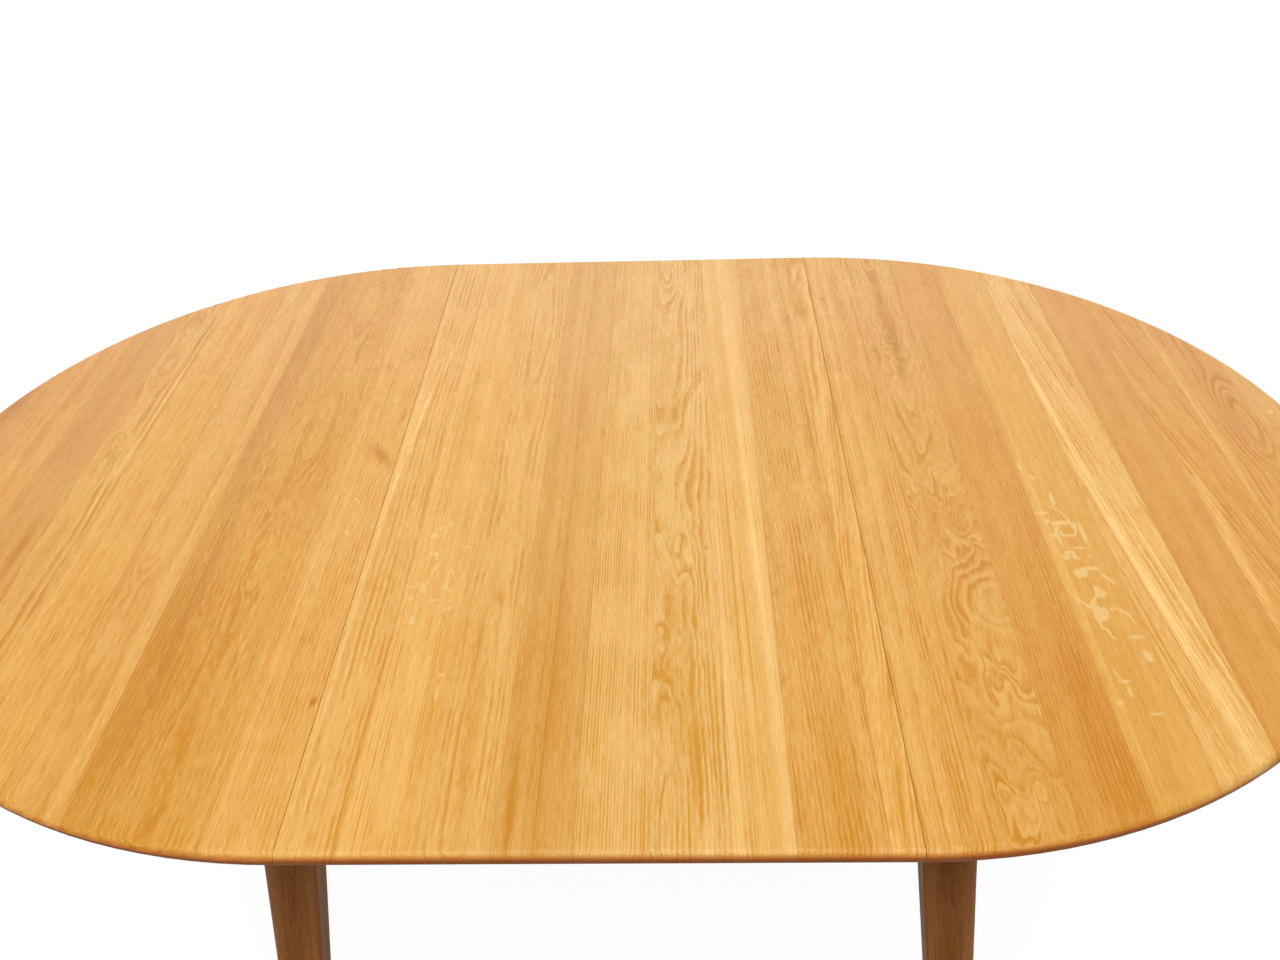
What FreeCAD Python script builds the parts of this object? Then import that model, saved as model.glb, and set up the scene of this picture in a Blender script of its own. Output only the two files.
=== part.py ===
import FreeCAD, Part
import math
import os

from FreeCAD import Vector

# Round extending dining table, drawn out and with its loose leaf in place.
# Millimetres. +Z is up, +X runs along the drawn-out length, -Y is the front, and
# the origin is on the floor under the middle of the table.

# ---- tops and leaf ----------------------------------------------------------
TABLE_HEIGHT = 740.0
TOP_DIAMETER = 1050.0
LEAF_LENGTH = 500.0
TOP_THICKNESS = 22.0
EDGE_HEIGHT = 12.0          # upright edge left above the underside's bevel
BEVEL_WIDTH = 42.0
TOP_ARRIS = 6.5
LOWER_ARRIS = 4.5
SEAM_GAP = 0.3              # between the leaf and each half top
SEAM_EASING = 0.5           # small bevel along each side of a seam

# ---- legs -------------------------------------------------------------------
LEG_REACH_TOP = 339.0       # centre line to a leg's outer faces, at its top
LEG_REACH_FLOOR = 393.0
LEG_WIDTH_TOP = 65.0
LEG_WIDTH_FLOOR = 36.0
LEG_OUTER_ROUND_TOP = 26.0
LEG_OUTER_ROUND_FLOOR = 1.5
LEG_INNER_ROUND_TOP = 18.0
LEG_INNER_ROUND_FLOOR = 14.0
LEG_SIDE_ROUND = 4.0
GLIDE_RADIUS = 11.0
GLIDE_THICKNESS = 3.0
GLIDE_EASING = 1.0
GLIDE_PIN_RADIUS = 2.0
GLIDE_PIN_LENGTH = 18.0

# ---- aprons and corner blocks -----------------------------------------------
FRAME_DROP = 0.5            # frame's upper edges below the tops' underside
APRON_HEIGHT = 80.0
APRON_THICKNESS = 22.0
APRON_SETBACK = 8.0         # behind the legs' outer faces
APRON_EASING = 2.0
DOWEL_RADIUS = 5.0
DOWEL_DEPTH = 22.0          # in each of the two pieces that it joins
DOWEL_EDGE = 20.0           # dowel's axis from the apron's upper or lower edge
BLOCK_THICKNESS = 28.0
BLOCK_HEIGHT = 60.0
BLOCK_DROP = 12.0           # below the frame's upper edge
BLOCK_LEG_GAP = 10.0        # the bolts draw the leg in across this gap
BLOCK_EDGE = 15.0           # bolt or screw from the block's upper or lower face
BLOCK_SCREW_SEAT = 22.0     # from a screw's head to the apron
BLOCK_SCREW_SINK = 1.0
HANGER_RADIUS = 4.0
HANGER_LEG_DEPTH = 40.0     # thread in the leg
HANGER_TAIL = 14.0          # thread past the block
WASHER_RADIUS = 9.0
WASHER_THICKNESS = 2.0
NUT_FLATS = 13.0
NUT_HEIGHT = 6.5

# ---- guide rails, runners and bearer ----------------------------------------
RAIL_Y = 130.0              # centre line to a rail's middle
RAIL_WIDTH = 30.0
RAIL_HEIGHT = 40.0
GROOVE_DEPTH = 9.0
GROOVE_HEIGHT = 12.0
RUNNER_WIDTH = 30.0
RUNNER_LIFT = 0.5           # runner's underside above the notch floor
RUNNER_INNER_REACH = 80.0   # past the middle, on the far side
RUNNER_OUTER_REACH = 590.0
RUNNING_GAP = 0.3
NOTCH_GAP = 1.0             # beside a runner in an end apron's notch
BEARER_WIDTH = 44.0
BEARER_HEIGHT = 30.0
BEARER_HOUSING = 8.0        # let into the front and back aprons
OVER_TRAVEL = 20.0          # how far a half top draws out to free the leaf
STOP_PIN_RADIUS = 4.0
STOP_PIN_DEPTH = 20.0
STOP_PIN_STANDOUT = 10.0
TIE_WIDTH = 40.0
TIE_HEIGHT = 24.0
TIE_LENGTH = 540.0
TIE_EASING = 4.0

# ---- leaf fittings ----------------------------------------------------------
BATTEN_Y = 245.0
BATTEN_WIDTH = 40.0
BATTEN_HEIGHT = 20.0
BATTEN_LENGTH = 410.0
BATTEN_EASING = 4.0
SEAM_DOWEL_RADIUS = 4.0
SEAM_DOWEL_SET = 22.0       # in the half top
SEAM_DOWEL_STANDOUT = 12.0
SEAM_DOWEL_GAP = 0.2
SEAM_DOWEL_INNER_Y = 150.0
SEAM_DOWEL_OUTER_Y = 380.0
HOOK_Y = 430.0
HOOK_SETBACK = 18.0         # pivot or stud from its own side of the seam
HOOK_THICKNESS = 2.5
HOOK_HUB_RADIUS = 9.0
HOOK_WALL = 5.0
HOOK_HALF_ANGLE = 20.0
HOOK_SLOT_GAP = 0.4
HOOK_SWING = 90.0
STUD_RADIUS = 3.0
STUD_HEAD_RADIUS = 6.0
STUD_HEAD_HEIGHT = 2.0
STUD_DEPTH = 14.0

# ---- screws and fits --------------------------------------------------------
SCREW_RADIUS = 2.25
SCREW_HEAD_RADIUS = 4.5
SCREW_POINT = 5.0
SCREW_BITE = 14.0           # in a top or the leaf
APRON_BITE = 17.0           # in an apron's thickness
RAIL_BITE = 25.0
RUNNER_SINK = 12.0          # runner screws' heads above its underside
BATTEN_SINK = 2.0           # heads above a batten's or a tie's underside
RAIL_SINK = 0.5
RUNNER_SCREWS = 4
RUNNER_SCREW_EDGE = 40.0
TIE_SCREWS = 4
TIE_SCREW_EDGE = 35.0
BATTEN_SCREWS = 4
BATTEN_SCREW_EDGE = 30.0
FIT = 0.05                  # radial clearance round pins, dowels and screws

# ---- levels and places that follow -------------------------------------------
UNDERSIDE = TABLE_HEIGHT - TOP_THICKNESS
FRAME_TOP = UNDERSIDE - FRAME_DROP
APRON_BOTTOM = FRAME_TOP - APRON_HEIGHT
APRON_OUTER = LEG_REACH_TOP - APRON_SETBACK
APRON_INNER = APRON_OUTER - APRON_THICKNESS
APRON_MIDDLE = APRON_OUTER - APRON_THICKNESS / 2
RAIL_BOTTOM = UNDERSIDE - RAIL_HEIGHT
RUNNER_BOTTOM = RAIL_BOTTOM + RUNNER_LIFT
SEAM_X = LEAF_LENGTH / 2 + SEAM_GAP
TOP_RADIUS = TOP_DIAMETER / 2
OUTER_RUNNER_Y = RAIL_Y + RAIL_WIDTH / 2 + RUNNING_GAP + RUNNER_WIDTH / 2
INNER_RUNNER_Y = RAIL_Y - RAIL_WIDTH / 2 - RUNNING_GAP - RUNNER_WIDTH / 2
STOP_PIN_X = BEARER_WIDTH / 2 + OVER_TRAVEL + RUNNING_GAP + STOP_PIN_RADIUS
SEAM_DOWEL_Z = TABLE_HEIGHT - TOP_THICKNESS / 2
HOOK_PIVOT_X = SEAM_X + HOOK_SETBACK
STUD_X = LEAF_LENGTH / 2 - HOOK_SETBACK
HOOK_TOP = UNDERSIDE - RUNNING_GAP
STUD_HEAD_TOP = HOOK_TOP - HOOK_THICKNESS - RUNNING_GAP

ORIGIN = Vector(0, 0, 0)
X = Vector(1, 0, 0)
Y = Vector(0, 1, 0)
Z = Vector(0, 0, 1)
CORNERS = {
    "back_right": (1, 1),
    "back_left": (-1, 1),
    "front_right": (1, -1),
    "front_left": (-1, -1),
}


# ---- small tools ------------------------------------------------------------
def rounded_face(corners):
    """Flat face from (point, rounding radius) corners, taken in order."""
    spans = []
    for place, (point, radius) in enumerate(corners):
        before = (corners[place - 1][0] - point).normalize()
        after = (corners[(place + 1) % len(corners)][0] - point).normalize()
        if radius == 0:
            spans.append((point, point, point))
            continue
        half = before.getAngle(after) / 2
        inward = (before + after).normalize()
        run = radius / math.tan(half)
        middle = point + inward * (radius / math.sin(half) - radius)
        spans.append((point + before * run, middle, point + after * run))
    edges = []
    for place, (start, middle, end) in enumerate(spans):
        if start != end:
            edges.append(Part.Arc(start, middle, end).toShape())
        following = spans[(place + 1) % len(spans)][0]
        edges.append(Part.makeLine(end, following))
    return Part.Face(Part.Wire(edges))


def board(x_span, y_span, z_span):
    """Plain board between low and high X, Y and Z."""
    low = Vector(x_span[0], y_span[0], z_span[0])
    size = Vector(x_span[1], y_span[1], z_span[1]) - low
    return Part.makeBox(size.x, size.y, size.z, low)


def eased(shape, radius, wanted):
    """The shape with a bevel along each edge that the test wanted picks."""
    edges = [edge for edge in shape.Edges if wanted(edge)]
    return shape.makeChamfer(radius, edges)


def lies_at(edge, height):
    """True for an edge that lies level at this height."""
    box = edge.BoundBox
    return abs(box.ZMin - height) < 0.01 and abs(box.ZMax - height) < 0.01


def reflect(shape, side_x, side_y):
    """A back right piece, mirrored into the corner of these signs."""
    if side_x < 0:
        shape = shape.mirror(ORIGIN, X)
    if side_y < 0:
        shape = shape.mirror(ORIGIN, Y)
    return shape


def front_and_back(shape):
    """A piece at the back with its mirror image at the front."""
    return [shape, reflect(shape, 1, -1)]


def spaced(low, high, count):
    """Evenly spaced places from low to high."""
    step = (high - low) / (count - 1)
    return [low + step * place for place in range(count)]


def screw(head_at, along, length, grow=0.0):
    """Countersunk wood screw; head_at is the middle of its head's flat."""
    head_depth = SCREW_HEAD_RADIUS - SCREW_RADIUS
    shank = SCREW_RADIUS + grow
    head = Part.makeCone(SCREW_HEAD_RADIUS + grow, shank, head_depth, head_at, along)
    body = Part.makeCylinder(shank, length - SCREW_POINT, head_at, along)
    point_at = head_at + along * (length - SCREW_POINT)
    point = Part.makeCone(shank, shank / 4, SCREW_POINT + grow, point_at, along)
    return head.fuse([body, point]).removeSplitter()


def screw_hole(head_at, along, length, sink):
    """The space that a sunk screw takes, open through the surface behind it."""
    mouth_at = head_at - along * (sink + 1)
    mouth = Part.makeCylinder(SCREW_HEAD_RADIUS + FIT, sink + 1, mouth_at, along)
    return mouth.fuse(screw(head_at, along, length, FIT))


def headed_stud(x, grow=0.0):
    """Round-headed stud hanging from the underside, at this X and HOOK_Y."""
    foot = Vector(x, HOOK_Y, STUD_HEAD_TOP)
    shank_length = UNDERSIDE - STUD_HEAD_TOP + STUD_DEPTH
    shank = Part.makeCylinder(STUD_RADIUS + grow, shank_length, foot, Z)
    head = Part.makeCylinder(STUD_HEAD_RADIUS, STUD_HEAD_HEIGHT, foot - Z * STUD_HEAD_HEIGHT, Z)
    return shank.fuse(head)


# ---- tops and leaf ----------------------------------------------------------
def edge_profile(middle, outward):
    """Half of a top's section, from the line at middle out to its moulded edge."""
    def at(reach, height):
        return middle + outward * reach + Z * height
    return rounded_face([
        (at(0, UNDERSIDE), 0),
        (at(TOP_RADIUS - BEVEL_WIDTH, UNDERSIDE), 0),
        (at(TOP_RADIUS, TABLE_HEIGHT - EDGE_HEIGHT), LOWER_ARRIS),
        (at(TOP_RADIUS, TABLE_HEIGHT), TOP_ARRIS),
        (at(0, TABLE_HEIGHT), 0),
    ])


def seam_bevel(x, away):
    """Wedge that eases a seam's upper edge at x; away points into the wood."""
    corner = Vector(x, -TOP_RADIUS, TABLE_HEIGHT)
    wedge = Part.makePolygon([
        corner - X * away + Z,
        corner + X * (away * (SEAM_EASING + 1)) + Z,
        corner - X * away - Z * (SEAM_EASING + 1),
        corner - X * away + Z,
    ])
    return Part.Face(wedge).extrude(Y * TOP_DIAMETER)


def dowel_places():
    """Y of the right seam's dowels; its slots in the half top lie at minus these."""
    return SEAM_DOWEL_INNER_Y, -SEAM_DOWEL_OUTER_Y


def seam_dowel(y, grow=0.0):
    """Dowel through the right seam, set in the half top."""
    start = Vector(SEAM_X - SEAM_DOWEL_STANDOUT, y, SEAM_DOWEL_Z)
    length = SEAM_DOWEL_STANDOUT + SEAM_DOWEL_SET
    return Part.makeCylinder(SEAM_DOWEL_RADIUS + grow, length + grow, start, X)


def seam_slot(face, into, y):
    """Slot for a dowel, open below, from the edge face at X into the wood."""
    width = SEAM_DOWEL_RADIUS + SEAM_DOWEL_GAP
    reach = sorted((face - into, face + into * (SEAM_DOWEL_STANDOUT + SEAM_DOWEL_GAP)))
    start = Vector(reach[0], y, SEAM_DOWEL_Z)
    crown = Part.makeCylinder(width, reach[1] - reach[0], start, X)
    below = board(reach, (y - width, y + width), (UNDERSIDE - 1, SEAM_DOWEL_Z))
    return crown.fuse(below)


def half_top(runner_y):
    """Right half top, a half round, with holes for its fixings and its runners' screws."""
    centre = X * SEAM_X
    blank = edge_profile(centre, -Y).revolve(centre, Z, 180).removeSplitter()
    holes = [seam_bevel(SEAM_X, 1)]
    holes += [seam_dowel(y, FIT) for y in dowel_places()]
    holes += [seam_slot(SEAM_X, 1, -y) for y in dowel_places()]
    holes += front_and_back(headed_stud(HOOK_PIVOT_X, FIT))
    holes += [screw(*seat, FIT) for seat in runner_seats(runner_y) + tie_seats()]
    return blank.cut(holes)


def leaf():
    """Loose leaf: straight length of the tops' section, slotted at both seams."""
    start = X * (-LEAF_LENGTH / 2)
    sides = [edge_profile(start, out).extrude(X * LEAF_LENGTH) for out in (-Y, Y)]
    blank = sides[0].fuse(sides[1]).removeSplitter()
    right = [seam_bevel(LEAF_LENGTH / 2, -1)]
    right += [seam_slot(LEAF_LENGTH / 2, -1, y) for y in dowel_places()]
    right += front_and_back(headed_stud(STUD_X, FIT))
    left = [hole.rotated(ORIGIN, Z, 180) for hole in right]
    screws = [screw(*seat, FIT) for seat in batten_seats()]
    return blank.cut(right + left + screws)


# ---- legs -------------------------------------------------------------------
def down_the_leg(at_top, at_floor, height):
    """A leg size at this height, between its sizes at the top and the floor."""
    share = (FRAME_TOP - height) / (FRAME_TOP - GLIDE_THICKNESS)
    return at_top + (at_floor - at_top) * share


def leg_inner(height):
    """Centre line to a leg's inner faces at this height."""
    reach = down_the_leg(LEG_REACH_TOP, LEG_REACH_FLOOR, height)
    return reach - down_the_leg(LEG_WIDTH_TOP, LEG_WIDTH_FLOOR, height)


def leg_section(reach, width, outer_round, inner_round, height):
    """Closed outline of the back right leg at one height."""
    inner = reach - width
    face = rounded_face([
        (Vector(reach, reach, height), outer_round),
        (Vector(inner, reach, height), LEG_SIDE_ROUND),
        (Vector(inner, inner, height), inner_round),
        (Vector(reach, inner, height), LEG_SIDE_ROUND),
    ])
    return face.OuterWire


def leg():
    """Back right leg: splayed, tapered, softer at its outer corner near the top."""
    top = leg_section(
        LEG_REACH_TOP, LEG_WIDTH_TOP, LEG_OUTER_ROUND_TOP, LEG_INNER_ROUND_TOP, FRAME_TOP
    )
    foot = leg_section(
        LEG_REACH_FLOOR, LEG_WIDTH_FLOOR, LEG_OUTER_ROUND_FLOOR, LEG_INNER_ROUND_FLOOR,
        GLIDE_THICKNESS,
    )
    blank = Part.makeLoft([foot, top], True, True)
    holes = corner_dowels(FIT) + hanger_bolts(FIT) + [glide_pin(FIT)]
    return blank.cut(holes)


def glide_place():
    """Middle of a foot, on the floor."""
    place = LEG_REACH_FLOOR - LEG_WIDTH_FLOOR / 2
    return Vector(place, place, 0)


def glide_pin(grow=0.0):
    """Pin that a foot glide is driven in by."""
    return Part.makeCylinder(
        GLIDE_PIN_RADIUS + grow, GLIDE_THICKNESS + GLIDE_PIN_LENGTH + grow, glide_place(), Z
    )


def glide():
    """Foot glide: a flat button with its pin."""
    button = Part.makeCylinder(GLIDE_RADIUS, GLIDE_THICKNESS, glide_place(), Z)
    button = eased(button, GLIDE_EASING, lambda edge: lies_at(edge, 0))
    return button.fuse(glide_pin()).removeSplitter()


# ---- aprons and corner blocks -----------------------------------------------
def plain_apron():
    """Back apron, its ends cut to the legs' splay."""
    low = leg_inner(APRON_BOTTOM)
    high = leg_inner(FRAME_TOP)
    outline = Part.makePolygon([
        Vector(-low, APRON_INNER, APRON_BOTTOM),
        Vector(low, APRON_INNER, APRON_BOTTOM),
        Vector(high, APRON_INNER, FRAME_TOP),
        Vector(-high, APRON_INNER, FRAME_TOP),
        Vector(-low, APRON_INNER, APRON_BOTTOM),
    ])
    blank = Part.Face(outline).extrude(Y * APRON_THICKNESS)
    holes = []
    for side in (-1, 1):
        holes += [reflect(dowel, side, 1) for dowel in apron_dowels(FIT)]
        holes += [reflect(hole, side, 1) for hole in block_screws(FIT)]
    blank = eased(
        blank, APRON_EASING,
        lambda edge: lies_at(edge, APRON_BOTTOM) and edge.BoundBox.XLength > low,
    )
    return blank.cut(holes)


def long_apron():
    """Back apron, with the housing for the centre bearer."""
    housing = board(
        (-BEARER_WIDTH / 2, BEARER_WIDTH / 2),
        (APRON_INNER - 1, APRON_INNER + BEARER_HOUSING),
        (RAIL_BOTTOM - BEARER_HEIGHT, RAIL_BOTTOM),
    )
    return plain_apron().cut(housing)


def end_apron():
    """Right apron, with a notch at each side for a rail and two runners."""
    blank = plain_apron().rotate(ORIGIN, Z, -90)
    notch = board(
        (APRON_INNER - 1, APRON_OUTER + 1),
        (INNER_RUNNER_Y - RUNNER_WIDTH / 2 - NOTCH_GAP, OUTER_RUNNER_Y + RUNNER_WIDTH / 2 + NOTCH_GAP),
        (RAIL_BOTTOM, FRAME_TOP + 1),
    )
    screws = [screw(*seat, FIT) for seat in rail_seats()]
    return blank.cut(front_and_back(notch) + screws)


def apron_dowels(grow=0.0):
    """The two dowels between the back apron and the back right leg."""
    dowels = []
    for height in (FRAME_TOP - DOWEL_EDGE, APRON_BOTTOM + DOWEL_EDGE):
        start = Vector(leg_inner(height) - DOWEL_DEPTH - grow, APRON_MIDDLE, height)
        length = 2 * (DOWEL_DEPTH + grow)
        dowels.append(Part.makeCylinder(DOWEL_RADIUS + grow, length, start, X))
    return dowels


def across(shape):
    """A piece of the back apron, carried over to the right apron."""
    return shape.mirror(ORIGIN, (X - Y).normalize())


def corner_dowels(grow=0.0):
    """All four dowels of the back right leg."""
    dowels = apron_dowels(grow)
    return dowels + [across(dowel) for dowel in dowels]


def block_faces():
    """X plus Y on the block's inner and outer faces."""
    outer = 2 * leg_inner(FRAME_TOP) - BLOCK_LEG_GAP * math.sqrt(2)
    return outer - BLOCK_THICKNESS * math.sqrt(2), outer


def block_heights():
    """Heights of the two bolts, and of the screws beside them."""
    top = FRAME_TOP - BLOCK_DROP
    return top - BLOCK_EDGE, top - BLOCK_HEIGHT + BLOCK_EDGE


def block_seats():
    """Head place, direction and length of the block's two screws into the back apron."""
    inner, _ = block_faces()
    head_y = APRON_INNER - BLOCK_SCREW_SEAT
    x = inner - head_y + SCREW_HEAD_RADIUS + BLOCK_SCREW_SINK
    length = BLOCK_SCREW_SEAT + APRON_BITE
    return [(Vector(x, head_y, height), Y, length) for height in block_heights()]


def block_screws(grow=0.0):
    """The two screws from the back right block into the back apron."""
    return [screw(*seat, grow) for seat in block_seats()]


def corner_block():
    """Back right corner block, set across the corner behind the leg."""
    inner, outer = block_faces()
    high = FRAME_TOP - BLOCK_DROP
    low = high - BLOCK_HEIGHT
    outline = Part.makePolygon([
        Vector(APRON_INNER, inner - APRON_INNER, low),
        Vector(APRON_INNER, outer - APRON_INNER, low),
        Vector(outer - APRON_INNER, APRON_INNER, low),
        Vector(inner - APRON_INNER, APRON_INNER, low),
        Vector(APRON_INNER, inner - APRON_INNER, low),
    ])
    blank = Part.Face(outline).extrude(Z * BLOCK_HEIGHT)
    slant = 2 * SCREW_HEAD_RADIUS + BLOCK_SCREW_SINK
    holes = [screw_hole(*seat, slant) for seat in block_seats()]
    holes += [across(hole) for hole in holes]
    return blank.cut(holes + hanger_bolts(FIT))


def diagonal():
    """Direction from the middle of the table towards the back right leg."""
    return (X + Y).normalize()


def bolt_start():
    """Distance along the diagonal to the hanger bolts' inner ends."""
    inner, _ = block_faces()
    return inner / math.sqrt(2) - HANGER_TAIL


def hanger_bolts(grow=0.0):
    """The two hanger bolts that hold the back right leg."""
    end = leg_inner(FRAME_TOP) * math.sqrt(2) + HANGER_LEG_DEPTH + grow
    bolts = []
    for height in block_heights():
        start = diagonal() * bolt_start() + Z * height
        bolts.append(Part.makeCylinder(HANGER_RADIUS + grow, end - bolt_start(), start, diagonal()))
    return bolts


def bolt_washers():
    """Washers against the block's inner face."""
    inner, _ = block_faces()
    washers = []
    for height in block_heights():
        start = diagonal() * (inner / math.sqrt(2) - WASHER_THICKNESS) + Z * height
        ring = Part.makeCylinder(WASHER_RADIUS, WASHER_THICKNESS, start, diagonal())
        hole = Part.makeCylinder(HANGER_RADIUS + FIT, WASHER_THICKNESS, start, diagonal())
        washers.append(ring.cut(hole))
    return washers


def bolt_nuts():
    """Hexagon nuts behind the washers."""
    inner, _ = block_faces()
    sideways = Z.cross(diagonal())
    nuts = []
    for height in block_heights():
        start = diagonal() * (inner / math.sqrt(2) - WASHER_THICKNESS - NUT_HEIGHT) + Z * height
        reach = NUT_FLATS / math.sqrt(3)
        corners = []
        for turn in range(7):
            angle = math.radians(60 * turn)
            corners.append(start + sideways * (reach * math.cos(angle)) + Z * (reach * math.sin(angle)))
        prism = Part.Face(Part.makePolygon(corners)).extrude(diagonal() * NUT_HEIGHT)
        hole = Part.makeCylinder(HANGER_RADIUS + FIT, NUT_HEIGHT, start, diagonal())
        nuts.append(prism.cut(hole))
    return nuts


# ---- guide rails, runners and bearer ----------------------------------------
def rail_seats():
    """Head place, direction and length of each guide-rail screw."""
    seats = []
    for x in (-APRON_MIDDLE, 0, APRON_MIDDLE):
        for y in (-RAIL_Y, RAIL_Y):
            seats.append((Vector(x, y, UNDERSIDE - RAIL_SINK), -Z, RAIL_HEIGHT + RAIL_BITE))
    return seats


def guide_rail():
    """Back guide rail: grooved along both sides, lying in the end aprons' notches."""
    half = RAIL_WIDTH / 2
    blank = board((-APRON_OUTER, APRON_OUTER), (RAIL_Y - half, RAIL_Y + half), (RAIL_BOTTOM, UNDERSIDE))
    middle = RAIL_BOTTOM + RAIL_HEIGHT / 2
    levels = (middle - GROOVE_HEIGHT / 2, middle + GROOVE_HEIGHT / 2)
    length = (-APRON_OUTER - 1, APRON_OUTER + 1)
    inner = board(length, (RAIL_Y - half - 1, RAIL_Y - half + GROOVE_DEPTH), levels)
    outer = board(length, (RAIL_Y + half - GROOVE_DEPTH, RAIL_Y + half + 1), levels)
    holes = [screw_hole(*seat, RAIL_SINK) for seat in rail_seats()]
    return blank.cut([inner, outer] + holes)


def runner_seats(y):
    """Screws up through the right runners at plus and minus y."""
    low = SEAM_X + RUNNER_SCREW_EDGE
    high = RUNNER_OUTER_REACH - RUNNER_SCREW_EDGE
    head = RUNNER_BOTTOM + RUNNER_SINK
    length = UNDERSIDE - head + SCREW_BITE
    places = spaced(low, high, RUNNER_SCREWS)
    return [(Vector(x, side * y, head), Z, length) for side in (1, -1) for x in places]


def stop_pin(y, grow=0.0):
    """Pin under a right runner that meets the bearer when the half is drawn out."""
    start = Vector(-STOP_PIN_X, y, RUNNER_BOTTOM - STOP_PIN_STANDOUT)
    return Part.makeCylinder(STOP_PIN_RADIUS + grow, STOP_PIN_STANDOUT + STOP_PIN_DEPTH + grow, start, Z)


def runner(y):
    """Runner of the right half top, at the back, with its tongue towards the rail."""
    reach = (-RUNNER_INNER_REACH, RUNNER_OUTER_REACH)
    half = RUNNER_WIDTH / 2
    body = board(reach, (y - half, y + half), (RUNNER_BOTTOM, UNDERSIDE))
    towards = 1 if y < RAIL_Y else -1
    root = y + towards * half
    tip = root + towards * GROOVE_DEPTH
    middle = RAIL_BOTTOM + RAIL_HEIGHT / 2
    height = GROOVE_HEIGHT / 2 - RUNNING_GAP
    tongue = board(reach, sorted((root, tip)), (middle - height, middle + height))
    holes = [screw_hole(*seat, RUNNER_SINK) for seat in runner_seats(y)]
    return body.fuse(tongue).removeSplitter().cut(holes + [stop_pin(y, FIT)])


def tie_seats():
    """Screws up through the right tie."""
    x = RUNNER_OUTER_REACH + TIE_WIDTH / 2
    head = UNDERSIDE - TIE_HEIGHT + BATTEN_SINK
    length = UNDERSIDE - head + SCREW_BITE
    end = TIE_LENGTH / 2 - TIE_SCREW_EDGE
    return [(Vector(x, y, head), Z, length) for y in spaced(-end, end, TIE_SCREWS)]


def runner_tie():
    """Batten under the right half top that joins its runners' outer ends."""
    low = UNDERSIDE - TIE_HEIGHT
    blank = board(
        (RUNNER_OUTER_REACH, RUNNER_OUTER_REACH + TIE_WIDTH),
        (-TIE_LENGTH / 2, TIE_LENGTH / 2),
        (low, UNDERSIDE),
    )
    blank = eased(blank, TIE_EASING, lambda edge: lies_at(edge, low))
    return blank.cut([screw_hole(*seat, BATTEN_SINK) for seat in tie_seats()])


def centre_bearer():
    """Bearer under the middle of both guide rails, housed in the long aprons."""
    half = BEARER_WIDTH / 2
    reach = APRON_INNER + BEARER_HOUSING
    blank = board((-half, half), (-reach, reach), (RAIL_BOTTOM - BEARER_HEIGHT, RAIL_BOTTOM))
    return blank.cut([screw(*seat, FIT) for seat in rail_seats()])


# ---- leaf fittings ----------------------------------------------------------
def batten_seats():
    """Screws up through both leaf battens."""
    head = UNDERSIDE - BATTEN_HEIGHT + BATTEN_SINK
    length = UNDERSIDE - head + SCREW_BITE
    end = BATTEN_LENGTH / 2 - BATTEN_SCREW_EDGE
    seats = []
    for y in (-BATTEN_Y, BATTEN_Y):
        seats += [(Vector(x, y, head), Z, length) for x in spaced(-end, end, BATTEN_SCREWS)]
    return seats


def leaf_batten():
    """Back batten, across the leaf's staves."""
    low = UNDERSIDE - BATTEN_HEIGHT
    blank = board(
        (-BATTEN_LENGTH / 2, BATTEN_LENGTH / 2),
        (BATTEN_Y - BATTEN_WIDTH / 2, BATTEN_Y + BATTEN_WIDTH / 2),
        (low, UNDERSIDE),
    )
    blank = eased(blank, BATTEN_EASING, lambda edge: lies_at(edge, low))
    return blank.cut([screw_hole(*seat, BATTEN_SINK) for seat in batten_seats()])


def seam_hook():
    """Back right swinging hook, open: it hangs flat, clear of the seam."""
    reach = HOOK_PIVOT_X - STUD_X
    slot_half = STUD_RADIUS + HOOK_SLOT_GAP
    tip = reach + slot_half + HOOK_WALL
    low = HOOK_TOP - HOOK_THICKNESS
    pivot = Z * low
    plate = Part.makeCylinder(tip, HOOK_THICKNESS, pivot, Z, 2 * HOOK_HALF_ANGLE)
    plate.rotate(ORIGIN, Z, -HOOK_HALF_ANGLE)
    hub = Part.makeCylinder(HOOK_HUB_RADIUS, HOOK_THICKNESS, pivot, Z)
    slot_outer = Part.makeCylinder(reach + slot_half, HOOK_THICKNESS, pivot, Z, 2 * HOOK_HALF_ANGLE)
    slot_inner = Part.makeCylinder(reach - slot_half, HOOK_THICKNESS, pivot, Z)
    slot = slot_outer.cut(slot_inner)
    slot.rotate(ORIGIN, Z, -2 * HOOK_HALF_ANGLE)
    slot_end = Part.makeCylinder(slot_half, HOOK_THICKNESS, pivot + X * reach, Z)
    eye = Part.makeCylinder(STUD_RADIUS + FIT, HOOK_THICKNESS, pivot, Z)
    hook = plate.fuse(hub).cut([slot, slot_end, eye]).removeSplitter()
    closed = 180
    hook.rotate(ORIGIN, Z, closed + HOOK_SWING)
    hook.translate(X * HOOK_PIVOT_X + Y * HOOK_Y)
    return hook


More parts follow.
